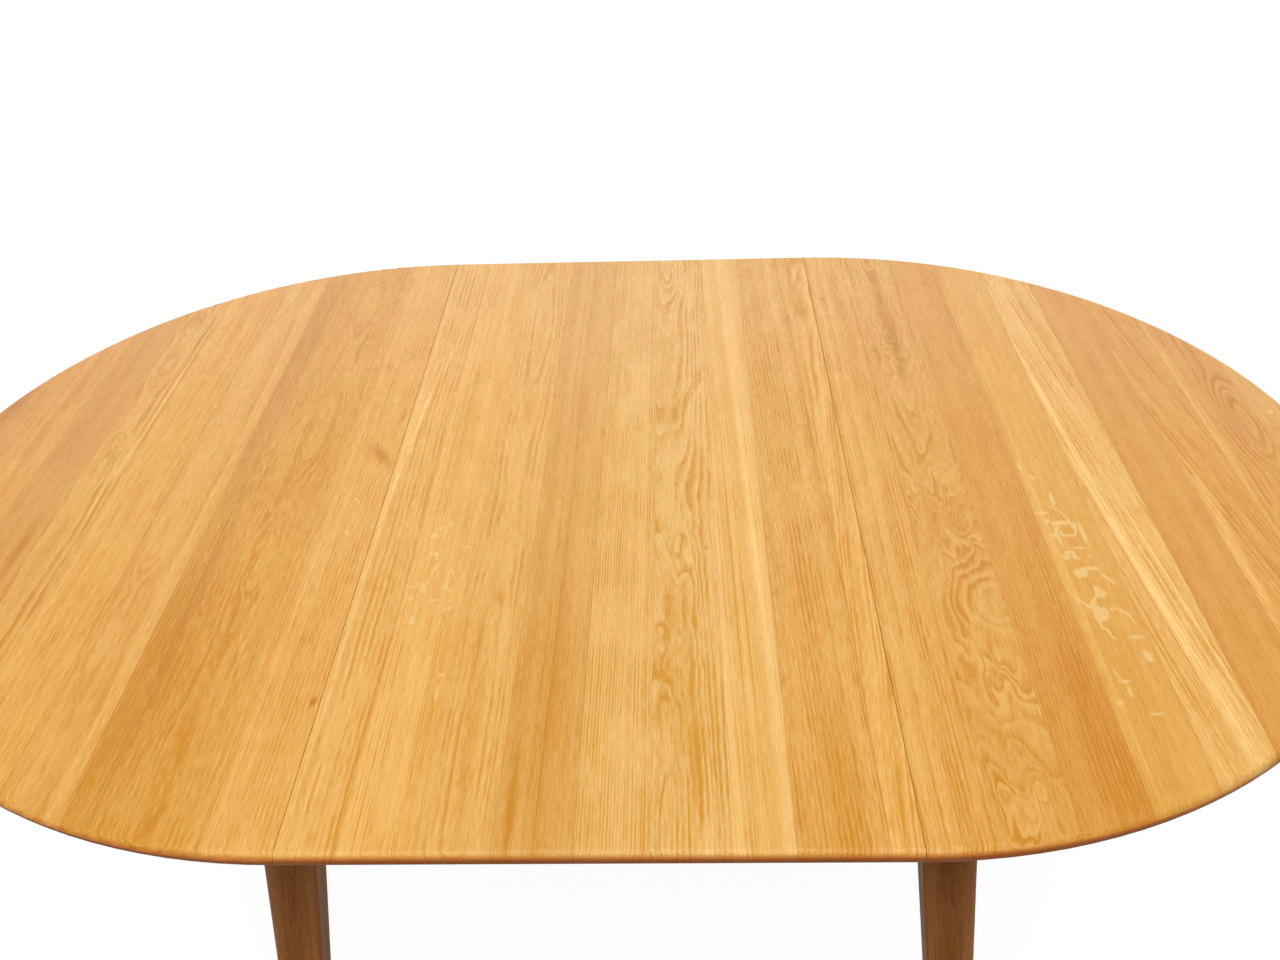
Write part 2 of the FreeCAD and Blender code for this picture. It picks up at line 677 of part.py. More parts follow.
# ---- the table --------------------------------------------------------------
def frame_nodes():
    """Everything that stands still."""
    nodes = {}
    for corner, sides in CORNERS.items():
        nodes["leg_" + corner] = [reflect(leg(), *sides)]
        nodes["glide_" + corner] = [reflect(glide(), *sides)]
        nodes["corner_block_" + corner] = [reflect(corner_block(), *sides)]
    nodes["apron_back"] = [long_apron()]
    nodes["apron_front"] = [reflect(long_apron(), 1, -1)]
    nodes["apron_right"] = [end_apron()]
    nodes["apron_left"] = [reflect(end_apron(), -1, 1)]
    nodes["guide_rail_back"] = [guide_rail()]
    nodes["guide_rail_front"] = [reflect(guide_rail(), 1, -1)]
    nodes["centre_bearer"] = [centre_bearer()]
    nodes["guide_rail_screws"] = [screw(*seat) for seat in rail_seats()]
    block_fixings = block_screws() + [across(one) for one in block_screws()]
    groups = {
        "apron_dowels": corner_dowels(),
        "hanger_bolts": hanger_bolts(),
        "bolt_washers": bolt_washers(),
        "bolt_nuts": bolt_nuts(),
        "corner_block_screws": block_fixings,
    }
    for name, pieces in groups.items():
        nodes[name] = [reflect(piece, *sides) for sides in CORNERS.values() for piece in pieces]
    return nodes


def half_nodes(side, turn, runner_y):
    """One half top with what is fixed to it, turned by 0 or 180 degrees about Z."""
    runners = front_and_back(runner(runner_y))
    if turn:
        runners.reverse()
    pieces = {
        "half_top_" + side: [half_top(runner_y)],
        "runner_" + side + "_back": [runners[0]],
        "runner_" + side + "_front": [runners[1]],
        "runner_tie_" + side: [runner_tie()],
        "runner_screws_" + side: [screw(*seat) for seat in runner_seats(runner_y)],
        "tie_screws_" + side: [screw(*seat) for seat in tie_seats()],
        "seam_dowels_" + side: [seam_dowel(y) for y in dowel_places()],
        "stop_pins_" + side: front_and_back(stop_pin(runner_y)),
        "hook_pivots_" + side: front_and_back(headed_stud(HOOK_PIVOT_X)),
    }
    nodes = {}
    for name, solids in pieces.items():
        nodes[name] = [solid.rotated(ORIGIN, Z, turn) for solid in solids]
    return nodes


def leaf_nodes():
    """The loose leaf with its battens and studs."""
    battens = front_and_back(leaf_batten())
    studs = []
    for sides in CORNERS.values():
        studs.append(reflect(headed_stud(STUD_X), *sides))
    return {
        "leaf": [leaf()],
        "leaf_batten_back": [battens[0]],
        "leaf_batten_front": [battens[1]],
        "leaf_batten_screws": [screw(*seat) for seat in batten_seats()],
        "leaf_studs": studs,
    }


def hook_nodes():
    """The four swinging hooks."""
    return {"seam_hook_" + corner: [reflect(seam_hook(), *sides)] for corner, sides in CORNERS.items()}


def write(nodes):
    """One STEP file for each node."""
    os.makedirs("parts", exist_ok=True)
    for name, solids in nodes.items():
        shape = solids[0] if len(solids) == 1 else Part.makeCompound(solids)
        if not shape.isValid():
            raise ValueError(name + " is not a valid shape")
        shape.exportStep("parts/" + name + ".step")
        print(name, len(shape.Solids), round(shape.Volume))


TABLE = {}
TABLE.update(frame_nodes())
TABLE.update(half_nodes("right", 0, INNER_RUNNER_Y))
TABLE.update(half_nodes("left", 180, OUTER_RUNNER_Y))
TABLE.update(leaf_nodes())
TABLE.update(hook_nodes())
write(TABLE)
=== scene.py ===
import math
from collections import namedtuple

import bpy
from mathutils import Matrix


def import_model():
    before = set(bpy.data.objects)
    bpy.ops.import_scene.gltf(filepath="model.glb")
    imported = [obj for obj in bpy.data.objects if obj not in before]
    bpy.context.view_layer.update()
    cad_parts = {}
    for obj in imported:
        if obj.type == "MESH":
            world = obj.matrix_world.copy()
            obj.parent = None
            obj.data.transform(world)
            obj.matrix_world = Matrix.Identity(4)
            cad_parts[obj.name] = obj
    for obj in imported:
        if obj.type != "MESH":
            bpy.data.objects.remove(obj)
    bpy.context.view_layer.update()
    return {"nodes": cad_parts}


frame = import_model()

# Dress for a round extending oak table, drawn out with its leaf in place. Metres, in the
# same frame as the solids; sizes inside the wood materials are in millimetres.

MILLIMETRES = 1000.0
TOP_SURFACE = 740.0

# ---- tones ------------------------------------------------------------------
OAK_TONES = {
    "cream": (243, 190, 109),
    "pale": (240, 183, 98),
    "honey": (236, 176, 89),
    "straw": (236, 175, 82),
    "amber": (230, 164, 73),
}
GRAIN_BROWN = (140, 78, 30)
FLECK_CREAM = (250, 210, 138)
END_GRAIN = (214, 118, 50)
LEG_OAK = (194, 127, 66)
APRON_OAK = (214, 148, 76)
BEECH = (214, 172, 128)
BEECH_END = (186, 142, 100)
STEEL_DULL = (168, 172, 178)
STEEL_BRIGHT = (206, 206, 200)
PLASTIC_DARK = (62, 54, 46)
PLASTIC_SCUFFED = (96, 88, 80)
# What one full step takes from red, green and blue: figure in the tops, the legs and aprons
# and the beech, brown heartwood, knots, the dots of end grain, the painted shade in a seam, and
# the painted shade on the rim and underside, where faces look sideways or down.
FIGURE_STEP = (0.36, 0.72, 1.6)
BOARD_STEP = (0.5, 0.62, 0.9)
BEECH_STEP = (0.5, 0.7, 0.9)
BROWN_STEP = (0.20, 0.33, 0.50)
KNOT_STEP = (0.8, 1.5, 2.9)
DOT_STEP = (0.9, 1.2, 1.4)
PAINTED_SEAM_SHADE_STEP = (0.55, 0.75, 0.9)
PAINTED_RIM_SHADE_STEP = (0.36, 0.5, 0.66)


def tone(colour, shade=1.0):
    """A colour as written in a paint list (0 to 255), for a node socket."""
    parts = []
    for part in colour:
        share = part / 255.0
        linear = share / 12.92 if share <= 0.04045 else ((share + 0.055) / 1.055) ** 2.4
        parts.append(min(linear * shade, 1.0))
    return (*parts, 1.0)


# ---- node helpers -----------------------------------------------------------
def feed(tree, value, socket):
    """Links a socket to another one, or sets it to a plain value."""
    if isinstance(value, bpy.types.NodeSocket):
        tree.links.new(value, socket)
    else:
        socket.default_value = value


def add(tree, kind, feeds=None, **settings):
    """Adds a node, with its settings and with what feeds its inputs."""
    node = tree.nodes.new("ShaderNode" + kind)
    for name, value in settings.items():
        setattr(node, name, value)
    for socket, value in (feeds or {}).items():
        feed(tree, value, node.inputs[socket])
    return node


def calc(tree, operation, first, second=0.0, third=None):
    """One sum on numbers."""
    feeds = {0: first, 1: second}
    if third is not None:
        feeds[2] = third
    return add(tree, "Math", feeds, operation=operation).outputs[0]


def reckon(tree, operation, first, second):
    """One sum on vectors."""
    return add(tree, "VectorMath", {0: first, 1: second}, operation=operation).outputs[0]


def parts_of(tree, vector):
    """The three numbers of a vector."""
    return add(tree, "SeparateXYZ", {0: vector}).outputs


def join(tree, x, y, z):
    """A vector from three numbers."""
    return add(tree, "CombineXYZ", {0: x, 1: y, 2: z}).outputs[0]


def length(tree, first, second):
    """Length of a line from its two legs."""
    legs = join(tree, first, second, 0.0)
    return add(tree, "VectorMath", {0: legs}, operation="LENGTH").outputs["Value"]


def ramp(tree, value, low, high, start, end):
    """Goes smoothly from start to end while the value goes from low to high."""
    feeds = {"Value": value, "From Min": low, "From Max": high, "To Min": start, "To Max": end}
    return add(tree, "MapRange", feeds, interpolation_type="SMOOTHSTEP").outputs[0]


def mix_colour(tree, share, first, second, way="MIX"):
    """One colour laid over another."""
    feeds = {0: share, 6: first, 7: second}
    return add(tree, "Mix", feeds, data_type="RGBA", blend_type=way).outputs[2]


def mix_vector(tree, share, first, second):
    """Between two vectors."""
    feeds = {0: share, 4: first, 5: second}
    return add(tree, "Mix", feeds, data_type="VECTOR").outputs[1]


def deepen(tree, colour, amount, step):
    """Takes a share of a colour away, by so much of each part for one unit of the amount."""
    taken = add(tree, "VectorMath", {0: step, "Scale": amount}, operation="SCALE").outputs[0]
    left = reckon(tree, "SUBTRACT", (1.0, 1.0, 1.0), taken)
    return mix_colour(tree, 1.0, colour, left, "MULTIPLY")


def cloud(tree, place, stretch, detail=2.0, rough=0.5):
    """Soft noise whose patches have the stretch's size along each axis, in mm."""
    scaled = reckon(tree, "DIVIDE", place, stretch)
    feeds = {"Vector": scaled, "Scale": 1.0, "Detail": detail, "Roughness": rough}
    return add(tree, "TexNoise", feeds)


def level(tree, value):
    """Noise brought to swing evenly about zero."""
    return calc(tree, "SUBTRACT", value, 0.5)


def weighed(tree, start, *shares):
    """Adds to the start each value times its share."""
    for value, share in shares:
        start = calc(tree, "MULTIPLY_ADD", value, share, start)
    return start


def kept_within(tree, value, low, high):
    """The value, stopped at a low and a high limit."""
    return calc(tree, "MINIMUM", calc(tree, "MAXIMUM", value, low), high)


def new_group(name, wanted, given):
    """Empty node group; returns it with its input sockets and its output node."""
    group = bpy.data.node_groups.new(name, "ShaderNodeTree")
    for label, kind, value in wanted:
        kind = "NodeSocket" + kind
        socket = group.interface.new_socket(name=label, in_out="INPUT", socket_type=kind)
        socket.default_value = value
    for label in given:
        group.interface.new_socket(name=label, in_out="OUTPUT", socket_type="NodeSocketFloat")
    return group, group.nodes.new("NodeGroupInput").outputs, group.nodes.new("NodeGroupOutput")


def use(tree, group, **feeds):
    """Places a group; feeds name its inputs, with _ for a space."""
    node = tree.nodes.new("ShaderNodeGroup")
    node.node_tree = group
    for label, value in feeds.items():
        feed(tree, value, node.inputs[label.replace("_", " ")])
    return node.outputs


# ---- wood effects -----------------------------------------------------------
# In these groups a board's grain runs along Y, X lies across it, and Z is its depth.
NOWHERE = (0.0, 0.0, 0.0)
BEYOND = 10000.0

# Size of the soft patches of each effect, in mm across, along and deep.
SLOW_WANDER = (90.0, 300.0, 90.0)
QUICK_WANDER = (24.0, 80.0, 24.0)
TORN_LINE = (3.5, 45.0, 3.5)
OPEN_PORE = (0.42, 7.0, 0.42)
TONE_DRIFT = (45.0, 260.0, 45.0)
FLECK_CURL = (30.0, 60.0, 30.0)
FLECK_CLUSTER = (26.0, 44.0, 26.0)
END_DOT = (1.4, 3.0, 2.2)
TORN_EDGE = (4.0, 40.0, 4.0)
RIPPLE_FOLD = (17.0, 50.0, 17.0)
# The streaks' layers, with size, detail, roughness and share.
STREAK_LAYERS = [
    ((1.3, 17.0, 1.3), 2.0, 0.55, 1.05),
    ((3.4, 52.0, 3.4), 1.0, 0.5, 0.32),
    ((11.0, 150.0, 11.0), 1.0, 0.5, 0.28),
]
# How far a whole seed moves a place in the noise.
RING_SEEDS = 613.0
FIBRE_SEEDS = 977.0
FLECK_SEEDS = 431.0

# The heart of the log: what the quick wander adds sideways and up, and how much more it
# wanders up than sideways.
QUICK_SWAY = 0.2
QUICK_LIFT = 0.3
LIFT_GAIN = 2.5
# Wide and narrow years: how fast they follow on each other and how far they shift the rings.
# The last value is how far a torn line strays, in rings.
YEARS_PACE = 0.33
YEARS_GAIN = 2.4
TORN_GAIN = 0.28
# A year's line is darkest at its peak and gone by its end, as parts of the year. Its strength
# lies between the faintest and 1, times a share that changes from stretch to stretch.
LINE_PEAK = 0.2
LINE_END = 0.85
FAINTEST = 0.25
LINE_STRETCHES = (0.35, 0.62, 0.3, 1.4)
# Flecks show where their cluster noise passes a limit, which the amount lowers.
CLUSTER_LIMIT = 0.74
CLUSTER_GAIN = -0.3
CLUSTER_SOFTNESS = 0.05
# Where these fade in or out: pores, the lines of flecks, patches, and faces that look along
# the grain, upwards, and sideways or down, the last for the painted shade on rim and underside.
PORE_RANGE = (0.56, 0.72)
CURL_RANGE = (0.008, 0.032)
PATCH_RANGE = (0.1, 1.0)
END_RANGE = (0.62, 0.98)
UP_RANGE = (0.6, 0.98)
PAINTED_RIM_SHADE_RANGE = (-0.15, 0.5)
# How far a ragged edge cuts into a spot, as a part of its half width.
TORN_EDGE_DEPTH = 0.5
# Heartwood from near the heart to far from it, in mm, and its strength at both.
HEARTWOOD_RANGE = (3.0, 21.0, 0.36, -0.1)


def seed_step(tree, given, spacing):
    """How far the seed moves a place in the noise."""
    return calc(tree, "MULTIPLY", given["Seed"], spacing)


def sown(tree, given, step):
    """The place, moved to a stretch of noise of the seed's own."""
    return reckon(tree, "ADD", given["Place"], join(tree, step, step, 0.0))


def heart_distance(tree, given, slow, quick):
    """Distance from the heart of the log, which wanders along the board."""
    x, y, z = parts_of(tree, given["Place"])
    sway = calc(tree, "MULTIPLY_ADD", level(tree, quick[0]), QUICK_SWAY, level(tree, slow[0]))
    lift = calc(tree, "MULTIPLY_ADD", level(tree, quick[1]), QUICK_LIFT, level(tree, slow[1]))
    across = calc(tree, "SUBTRACT", x, given["Pith"])
    across = calc(tree, "MULTIPLY_ADD", sway, given["Wander"], across)
    depth = calc(tree, "MULTIPLY_ADD", y, given["Taper"], given["Depth"])
    depth = calc(tree, "ADD", depth, given["Swell"])
    rise = calc(tree, "MULTIPLY", given["Wander"], LIFT_GAIN)
    depth = calc(tree, "MULTIPLY_ADD", lift, rise, depth)
    depth = calc(tree, "SUBTRACT", depth, z)
    return length(tree, across, depth)


def year_line(tree, rings):
    """Each year's dark line, quick to rise and slow to fade."""
    phase = calc(tree, "FRACT", rings)
    rise = ramp(tree, phase, 0.0, LINE_PEAK, 0.0, 1.0)
    return calc(tree, "MULTIPLY", rise, ramp(tree, phase, LINE_PEAK, LINE_END, 1.0, 0.0))


def year_strength(tree, rings, step, stretches):
    """Strong and faint years, and stretches where all lines are fainter."""
    year = join(tree, calc(tree, "FLOOR", rings), step, 0.0)
    strength = add(tree, "TexWhiteNoise", {"Vector": year}).outputs["Value"]
    strength = calc(tree, "MULTIPLY_ADD", strength, 1.0 - FAINTEST, FAINTEST)
    return calc(tree, "MULTIPLY", strength, ramp(tree, stretches, *LINE_STRETCHES))


def ring_group():
    """Year rings of the log that a board was cut from, as dark lines and as broad bands."""
    tree, given, out = new_group("Year rings", [
        ("Place", "Vector", NOWHERE), ("Pith", "Float", 0.0), ("Depth", "Float", 30.0),
        ("Taper", "Float", 0.0), ("Ring", "Float", 3.0), ("Wander", "Float", 3.0),
        ("Swell", "Float", 0.0), ("Seed", "Float", 0.0),
    ], ["Line", "Band"])
    step = seed_step(tree, given, RING_SEEDS)
    moved = sown(tree, given, step)
    slow = parts_of(tree, cloud(tree, moved, SLOW_WANDER, 1.0).outputs["Color"])
    quick = parts_of(tree, cloud(tree, moved, QUICK_WANDER, 1.0).outputs["Color"])
    torn = cloud(tree, moved, TORN_LINE, 2.0, 0.6).outputs[0]
    rings = calc(tree, "DIVIDE", heart_distance(tree, given, slow, quick), given["Ring"])
    years = join(tree, calc(tree, "MULTIPLY", rings, YEARS_PACE), step, 0.0)
    uneven = add(tree, "TexNoise", {"Vector": years, "Scale": 1.0, "Detail": 1.0}).outputs[0]
    rings = weighed(tree, rings, (uneven, YEARS_GAIN), (torn, TORN_GAIN))
    strength = year_strength(tree, rings, step, quick[2])
    feed(tree, calc(tree, "MULTIPLY", year_line(tree, rings), strength), out.inputs["Line"])
    feed(tree, level(tree, uneven), out.inputs["Band"])
    return tree


def fibre_group():
    """Long fibres, open pores and slow changes of tone along the grain."""
    tree, given, out = new_group("Fibres and pores", [
        ("Place", "Vector", NOWHERE), ("Seed", "Float", 0.0),
    ], ["Streak", "Pore", "Drift"])
    moved = sown(tree, given, seed_step(tree, given, FIBRE_SEEDS))
    streak = 0.0
    for size, detail, rough, share in STREAK_LAYERS:
        layer = cloud(tree, moved, size, detail, rough).outputs[0]
        streak = weighed(tree, streak, (level(tree, layer), share))
    pore = cloud(tree, moved, OPEN_PORE, 1.0).outputs[0]
    drift = cloud(tree, moved, TONE_DRIFT, 2.0).outputs[0]
    feed(tree, streak, out.inputs["Streak"])
    feed(tree, ramp(tree, pore, *PORE_RANGE, 0.0, 1.0), out.inputs["Pore"])
    feed(tree, level(tree, drift), out.inputs["Drift"])
    return tree


def fleck_group():
    """Pale curled ray flecks of quarter-sawn oak."""
    tree, given, out = new_group("Ray flecks", [
        ("Place", "Vector", NOWHERE), ("Seed", "Float", 0.0), ("Amount", "Float", 0.0),
    ], ["Fleck"])
    moved = sown(tree, given, seed_step(tree, given, FLECK_SEEDS))
    field = cloud(tree, moved, FLECK_CURL, 2.0, 0.5).outputs[0]
    curl = calc(tree, "ABSOLUTE", level(tree, field))
    line = ramp(tree, curl, *CURL_RANGE, 1.0, 0.0)
    cluster = cloud(tree, moved, FLECK_CLUSTER, 1.0).outputs[0]
    limit = calc(tree, "MULTIPLY_ADD", given["Amount"], CLUSTER_GAIN, CLUSTER_LIMIT)
    above = calc(tree, "SUBTRACT", cluster, limit)
    cluster = ramp(tree, above, 0.0, CLUSTER_SOFTNESS, 0.0, 1.0)
    feed(tree, calc(tree, "MULTIPLY", line, cluster), out.inputs["Fleck"])
    return tree


def patch_group():
    """Soft oval patch, slanted along the grain and cut off at its board's edges."""
    tree, given, out = new_group("Soft patch", [
        ("Place", "Vector", NOWHERE), ("Torn", "Float", 0.0), ("Across", "Float", 0.0),
        ("Along", "Float", 0.0), ("Half Width", "Float", 10.0), ("Half Length", "Float", 100.0),
        ("Slant", "Float", 0.0), ("Near Edge", "Float", -BEYOND), ("Far Edge", "Float", BEYOND),
    ], ["Patch"])
    x, y, _ = parts_of(tree, given["Place"])
    run = calc(tree, "SUBTRACT", y, given["Along"])
    side = calc(tree, "SUBTRACT", x, given["Across"])
    side = calc(tree, "SUBTRACT", side, calc(tree, "MULTIPLY", run, given["Slant"]))
    side = calc(tree, "DIVIDE", side, given["Half Width"])
    run = calc(tree, "DIVIDE", run, given["Half Length"])
    reach = calc(tree, "ADD", length(tree, side, run), given["Torn"])
    past_near = calc(tree, "GREATER_THAN", x, given["Near Edge"])
    before_far = calc(tree, "LESS_THAN", x, given["Far Edge"])
    patch = calc(tree, "MULTIPLY", ramp(tree, reach, *PATCH_RANGE, 1.0, 0.0), past_near)
    feed(tree, calc(tree, "MULTIPLY", patch, before_far), out.inputs["Patch"])
    return tree


def end_group():
    """How far a face looks along the grain and up, painted shade where it looks sideways or down, and
    end-grain pores.
    """
    tree, given, out = new_group("End grain", [
        ("Place", "Vector", NOWHERE), ("Facing", "Vector", NOWHERE),
    ], ["End", "Up", "Painted rim shade", "Dots"])
    _, y, z = parts_of(tree, given["Facing"])
    along = calc(tree, "ABSOLUTE", y)
    feed(tree, ramp(tree, along, *END_RANGE, 0.0, 1.0), out.inputs["End"])
    feed(tree, ramp(tree, z, *UP_RANGE, 0.0, 1.0), out.inputs["Up"])
    feed(tree, ramp(tree, z, *PAINTED_RIM_SHADE_RANGE, 1.0, 0.0), out.inputs["Painted rim shade"])
    dots = cloud(tree, given["Place"], END_DOT, 2.0, 0.6).outputs[0]
    feed(tree, level(tree, dots), out.inputs["Dots"])
    return tree


def heartwood_group():
    """Darker wood in two bands that cross at the heart, and so in the middle of a leg's faces."""
    tree, given, out = new_group("Heartwood", [("Place", "Vector", NOWHERE)], ["Heartwood"])
    x, _, z = parts_of(tree, given["Place"])
    side = calc(tree, "MINIMUM", calc(tree, "ABSOLUTE", x), calc(tree, "ABSOLUTE", z))
    feed(tree, ramp(tree, side, *HEARTWOOD_RANGE), out.inputs["Heartwood"])
    return tree


def uneven_group():
    """Ragged edges for spots, and folds for rippled rings."""
    tree, given, out = new_group("Uneven wood", [("Place", "Vector", NOWHERE)], ["Torn", "Fold"])
    torn = level(tree, cloud(tree, given["Place"], TORN_EDGE, 2.0).outputs[0])
    fold = level(tree, cloud(tree, given["Place"], RIPPLE_FOLD, 1.0).outputs[0])
    feed(tree, calc(tree, "MULTIPLY", torn, TORN_EDGE_DEPTH), out.inputs["Torn"])
    feed(tree, fold, out.inputs["Fold"])
    return tree


RINGS = ring_group()
FIBRES = fibre_group()
FLECKS = fleck_group()
PATCH = patch_group()
ENDS = end_group()
HEARTWOOD = heartwood_group()
UNEVEN = uneven_group()


# ---- shared by the finishes -------------------------------------------------
def new_material(name):
    """An empty material with its surface shader."""
    material = bpy.data.materials.new(name)
    material.use_nodes = True
    tree = material.node_tree
    tree.nodes.clear()
    shader = add(tree, "BsdfPrincipled")
    out = add(tree, "OutputMaterial")
    tree.links.new(shader.outputs[0], out.inputs["Surface"])
    return material, tree, shader


def surface(tree, shader, colour, rough, height, relief, invert=False):
    """Gives the surface its colour, its roughness and a fine relief of a strength and depth."""
    feed(tree, colour, shader.inputs["Base Color"])
    feed(tree, rough, shader.inputs["Roughness"])
    feeds = {"Height": height, "Strength": relief[0], "Distance": relief[1]}
    bump = add(tree, "Bump", feeds, invert=invert)
    feed(tree, bump.outputs[0], shader.inputs["Normal"])


def grain_place(tree, along):
    """Place and facing with the grain turned to Y: along is "x", "y" or "z"."""
    coordinates = add(tree, "TexCoord").outputs
    place = reckon(tree, "MULTIPLY", coordinates["Object"], (MILLIMETRES,) * 3)
    turned = []
    for vector in (place, coordinates["Normal"]):
        x, y, z = parts_of(tree, vector)
        order = {"x": (y, x, z), "y": (x, y, z), "z": (x, z, y)}[along]
        turned.append(join(tree, *order))
    return turned


def with_ends(tree, colour, ends, end_tone, share):
    """Lays a share of the end grain's tone over the faces that look along the grain."""
    return mix_colour(tree, calc(tree, "MULTIPLY", ends["End"], share), colour, end_tone)


def dotted_end(tree, ends):
    """Tone of oak's end grain with its pores."""
    return deepen(tree, tone(END_GRAIN), ends["Dots"], DOT_STEP)


# ---- oak tops ---------------------------------------------------------------
# Staves from left to right. Edge is the far edge, pith and depth place the heart of the log
# across and below the surface, taper tilts it along the board, and lean slants the grain. Two
# rows with one seed are two tones of the same stave.
Stave = namedtuple("Stave", "edge tone shade pith depth taper ring wander line streak lean seed")
GROWTH_NAMES = (("pith", "depth", "taper"), ("ring", "wander", "line"), ("streak", "lean", "seed"))
LEFT_STAVES = [
    Stave(-712, "amber", 0.96, -850, 40, 0.00, 3.4, 4, 0.34, 1.0, 0.00, 0.11),
    Stave(-655, "amber", 1.0, -560, 30, 0.00, 3.0, 4, 0.34, 1.0, 0.00, 0.23),
    Stave(-602, "amber", 0.93, -720, 35, 0.00, 2.8, 3, 0.21, 0.8, 0.00, 0.37),
    Stave(-555, "straw", 0.965, -585, 20, 0.00, 6.0, 7, 0.60, 1.0, 0.00, 0.41),
    Stave(-490, "straw", 1.01, -410, 30, 0.00, 3.0, 4, 0.42, 1.0, 0.00, 0.53),
    Stave(-430, "honey", 1.00, -472, 18, 0.00, 5.5, 8, 0.24, 0.9, 0.00, 0.59),
    Stave(-399, "straw", 0.95, -356, 20, 0.00, 4.4, 7, 0.27, 1.1, 0.00, 0.67),
    Stave(-312, "straw", 0.97, -356, 20, 0.00, 4.4, 7, 0.27, 1.1, 0.00, 0.67),
    Stave(-250, "honey", 1.02, -190, 40, 0.00, 3.6, 6, 0.34, 1.0, 0.00, 0.71),
]
LEAF_STAVES = [
    Stave(-202, "pale", 1.01, -320, 24, 0.00, 6.0, 10, 0.42, 1.0, 0.00, 0.13),
    Stave(-142, "pale", 1.03, -30, 30, 0.00, 2.4, 4, 0.36, 0.75, 0.00, 0.29),
    Stave(-82, "pale", 0.985, -112, 18, 0.00, 5.5, 7, 0.34, 0.9, 0.00, 0.31),
    Stave(-18, "honey", 0.94, 80, 40, 0.00, 2.6, 3, 0.21, 0.8, 0.00, 0.43),
    Stave(41, "cream", 0.98, -90, 30, 0.00, 2.6, 3, 0.40, 0.75, 0.00, 0.47),
    Stave(103, "cream", 0.97, 50, 20, 0.00, 5.0, 8, 0.42, 1.0, 0.00, 0.61),
    Stave(153, "cream", 1.02, 260, 30, 0.00, 3.0, 5, 0.26, 0.6, -0.02, 0.73),
    Stave(224, "honey", 0.98, 60, 40, 0.00, 4.0, 6, 0.42, 1.1, -0.02, 0.79),
    Stave(250, "pale", 1.02, 205, 20, 0.02, 5.0, 9, 0.47, 1.0, 0.06, 0.83),
]
RIGHT_STAVES = [
    Stave(307, "honey", 0.99, 170, 40, 0.00, 3.4, 5, 0.34, 1.0, 0.00, 0.17),
    Stave(371, "honey", 0.97, 340, 34, -0.05, 5.0, 9, 0.46, 1.0, 0.00, 0.19),
    Stave(431, "amber", 0.98, 520, 40, 0.00, 3.6, 4, 0.31, 0.9, 0.01, 0.37),
    Stave(490, "straw", 0.98, 640, 30, 0.00, 2.6, 3, 0.21, 0.7, 0.00, 0.39),
    Stave(548, "pale", 1.00, 640, 30, 0.00, 4.2, 7, 0.38, 1.0, -0.07, 0.51),
    Stave(606, "amber", 0.97, 440, 30, 0.00, 3.0, 3, 0.21, 0.7, 0.00, 0.57),
    Stave(661, "amber", 0.99, 700, 20, 0.00, 5.0, 6, 0.36, 1.0, -0.10, 0.63),
    Stave(724, "amber", 0.97, 716, 24, 0.00, 6.0, 6, 0.49, 0.8, 0.00, 0.69),
    Stave(775, "honey", 0.96, 860, 30, 0.00, 3.6, 5, 0.34, 1.0, 0.00, 0.77),
]
# Spots lie across and along, with half width, half length, slant and strength. Swells push
# the rings out or in, ripples fold them, figure and brown deepen the tone (figure may also
# lighten it), knots are dark, flecks let the ray flecks show, and rays are single ones.
LEFT_SPOTS = {
    "swell": [
        (-584, 240, 26, 80, 0.0, -18), (-585, 340, 24, 60, 0.0, -13),
        (-590, 20, 24, 80, 0.0, -14), (-470, 240, 34, 120, 0.0, -15),
        (-474, 70, 30, 80, 0.0, -12), (-474, -110, 30, 110, 0.0, -14),
        (-358, 400, 36, 110, 0.0, -14), (-350, 90, 40, 130, 0.0, -15),
        (-352, -190, 44, 150, 0.0, -6),
        (-262, 20, 26, 50, 0.0, 14),
    ],
    "ripple": [(-590, 40, 34, 140, 0.0, 30), (-360, 0, 60, 500, 0.0, 14)],
    "figure": [
        (-615, -140, 8, 90, 0.0, 0.40), (-562, 90, 7, 300, 0.02, -0.34),
        (-570, 280, 5, 160, -0.02, -0.22), (-408, -330, 58, 300, 0.0, 0.28),
        (-485, -120, 5, 420, 0.0, 0.12), (-440, 0, 6, 900, 0.0, -0.12),
        (-584, 240, 15, 40, 0.0, 0.42), (-584, 240, 9, 25, 0.0, -0.50),
        (-585, 345, 18, 44, 0.0, 0.34), (-585, 334, 13, 34, 0.0, -0.40),
        (-584, 20, 12, 44, 0.0, 0.26), (-584, 14, 7, 30, 0.0, -0.34),
    ],
    "brown": [
        (-742, 150, 20, 80, 0.0, 0.9), (-416, 260, 34, 520, 0.0, 0.62),
        (-404, -220, 14, 330, 0.0, 0.34), (-628, 120, 30, 260, 0.0, 0.14),
    ],
    "knot": [
        (-297, 225, 9, 18, 0.0, 0.13), (-266, 22, 12, 34, -0.5, 0.20), (-276, 30, 20, 44, -0.4, 0.10),
        (-258, 110, 6, 20, 0.0, 0.14), (-256, -360, 5, 10, 0.0, 0.30),
    ],
    "fleck": [(-284, -120, 34, 130, 0.0, 0.65)],
}
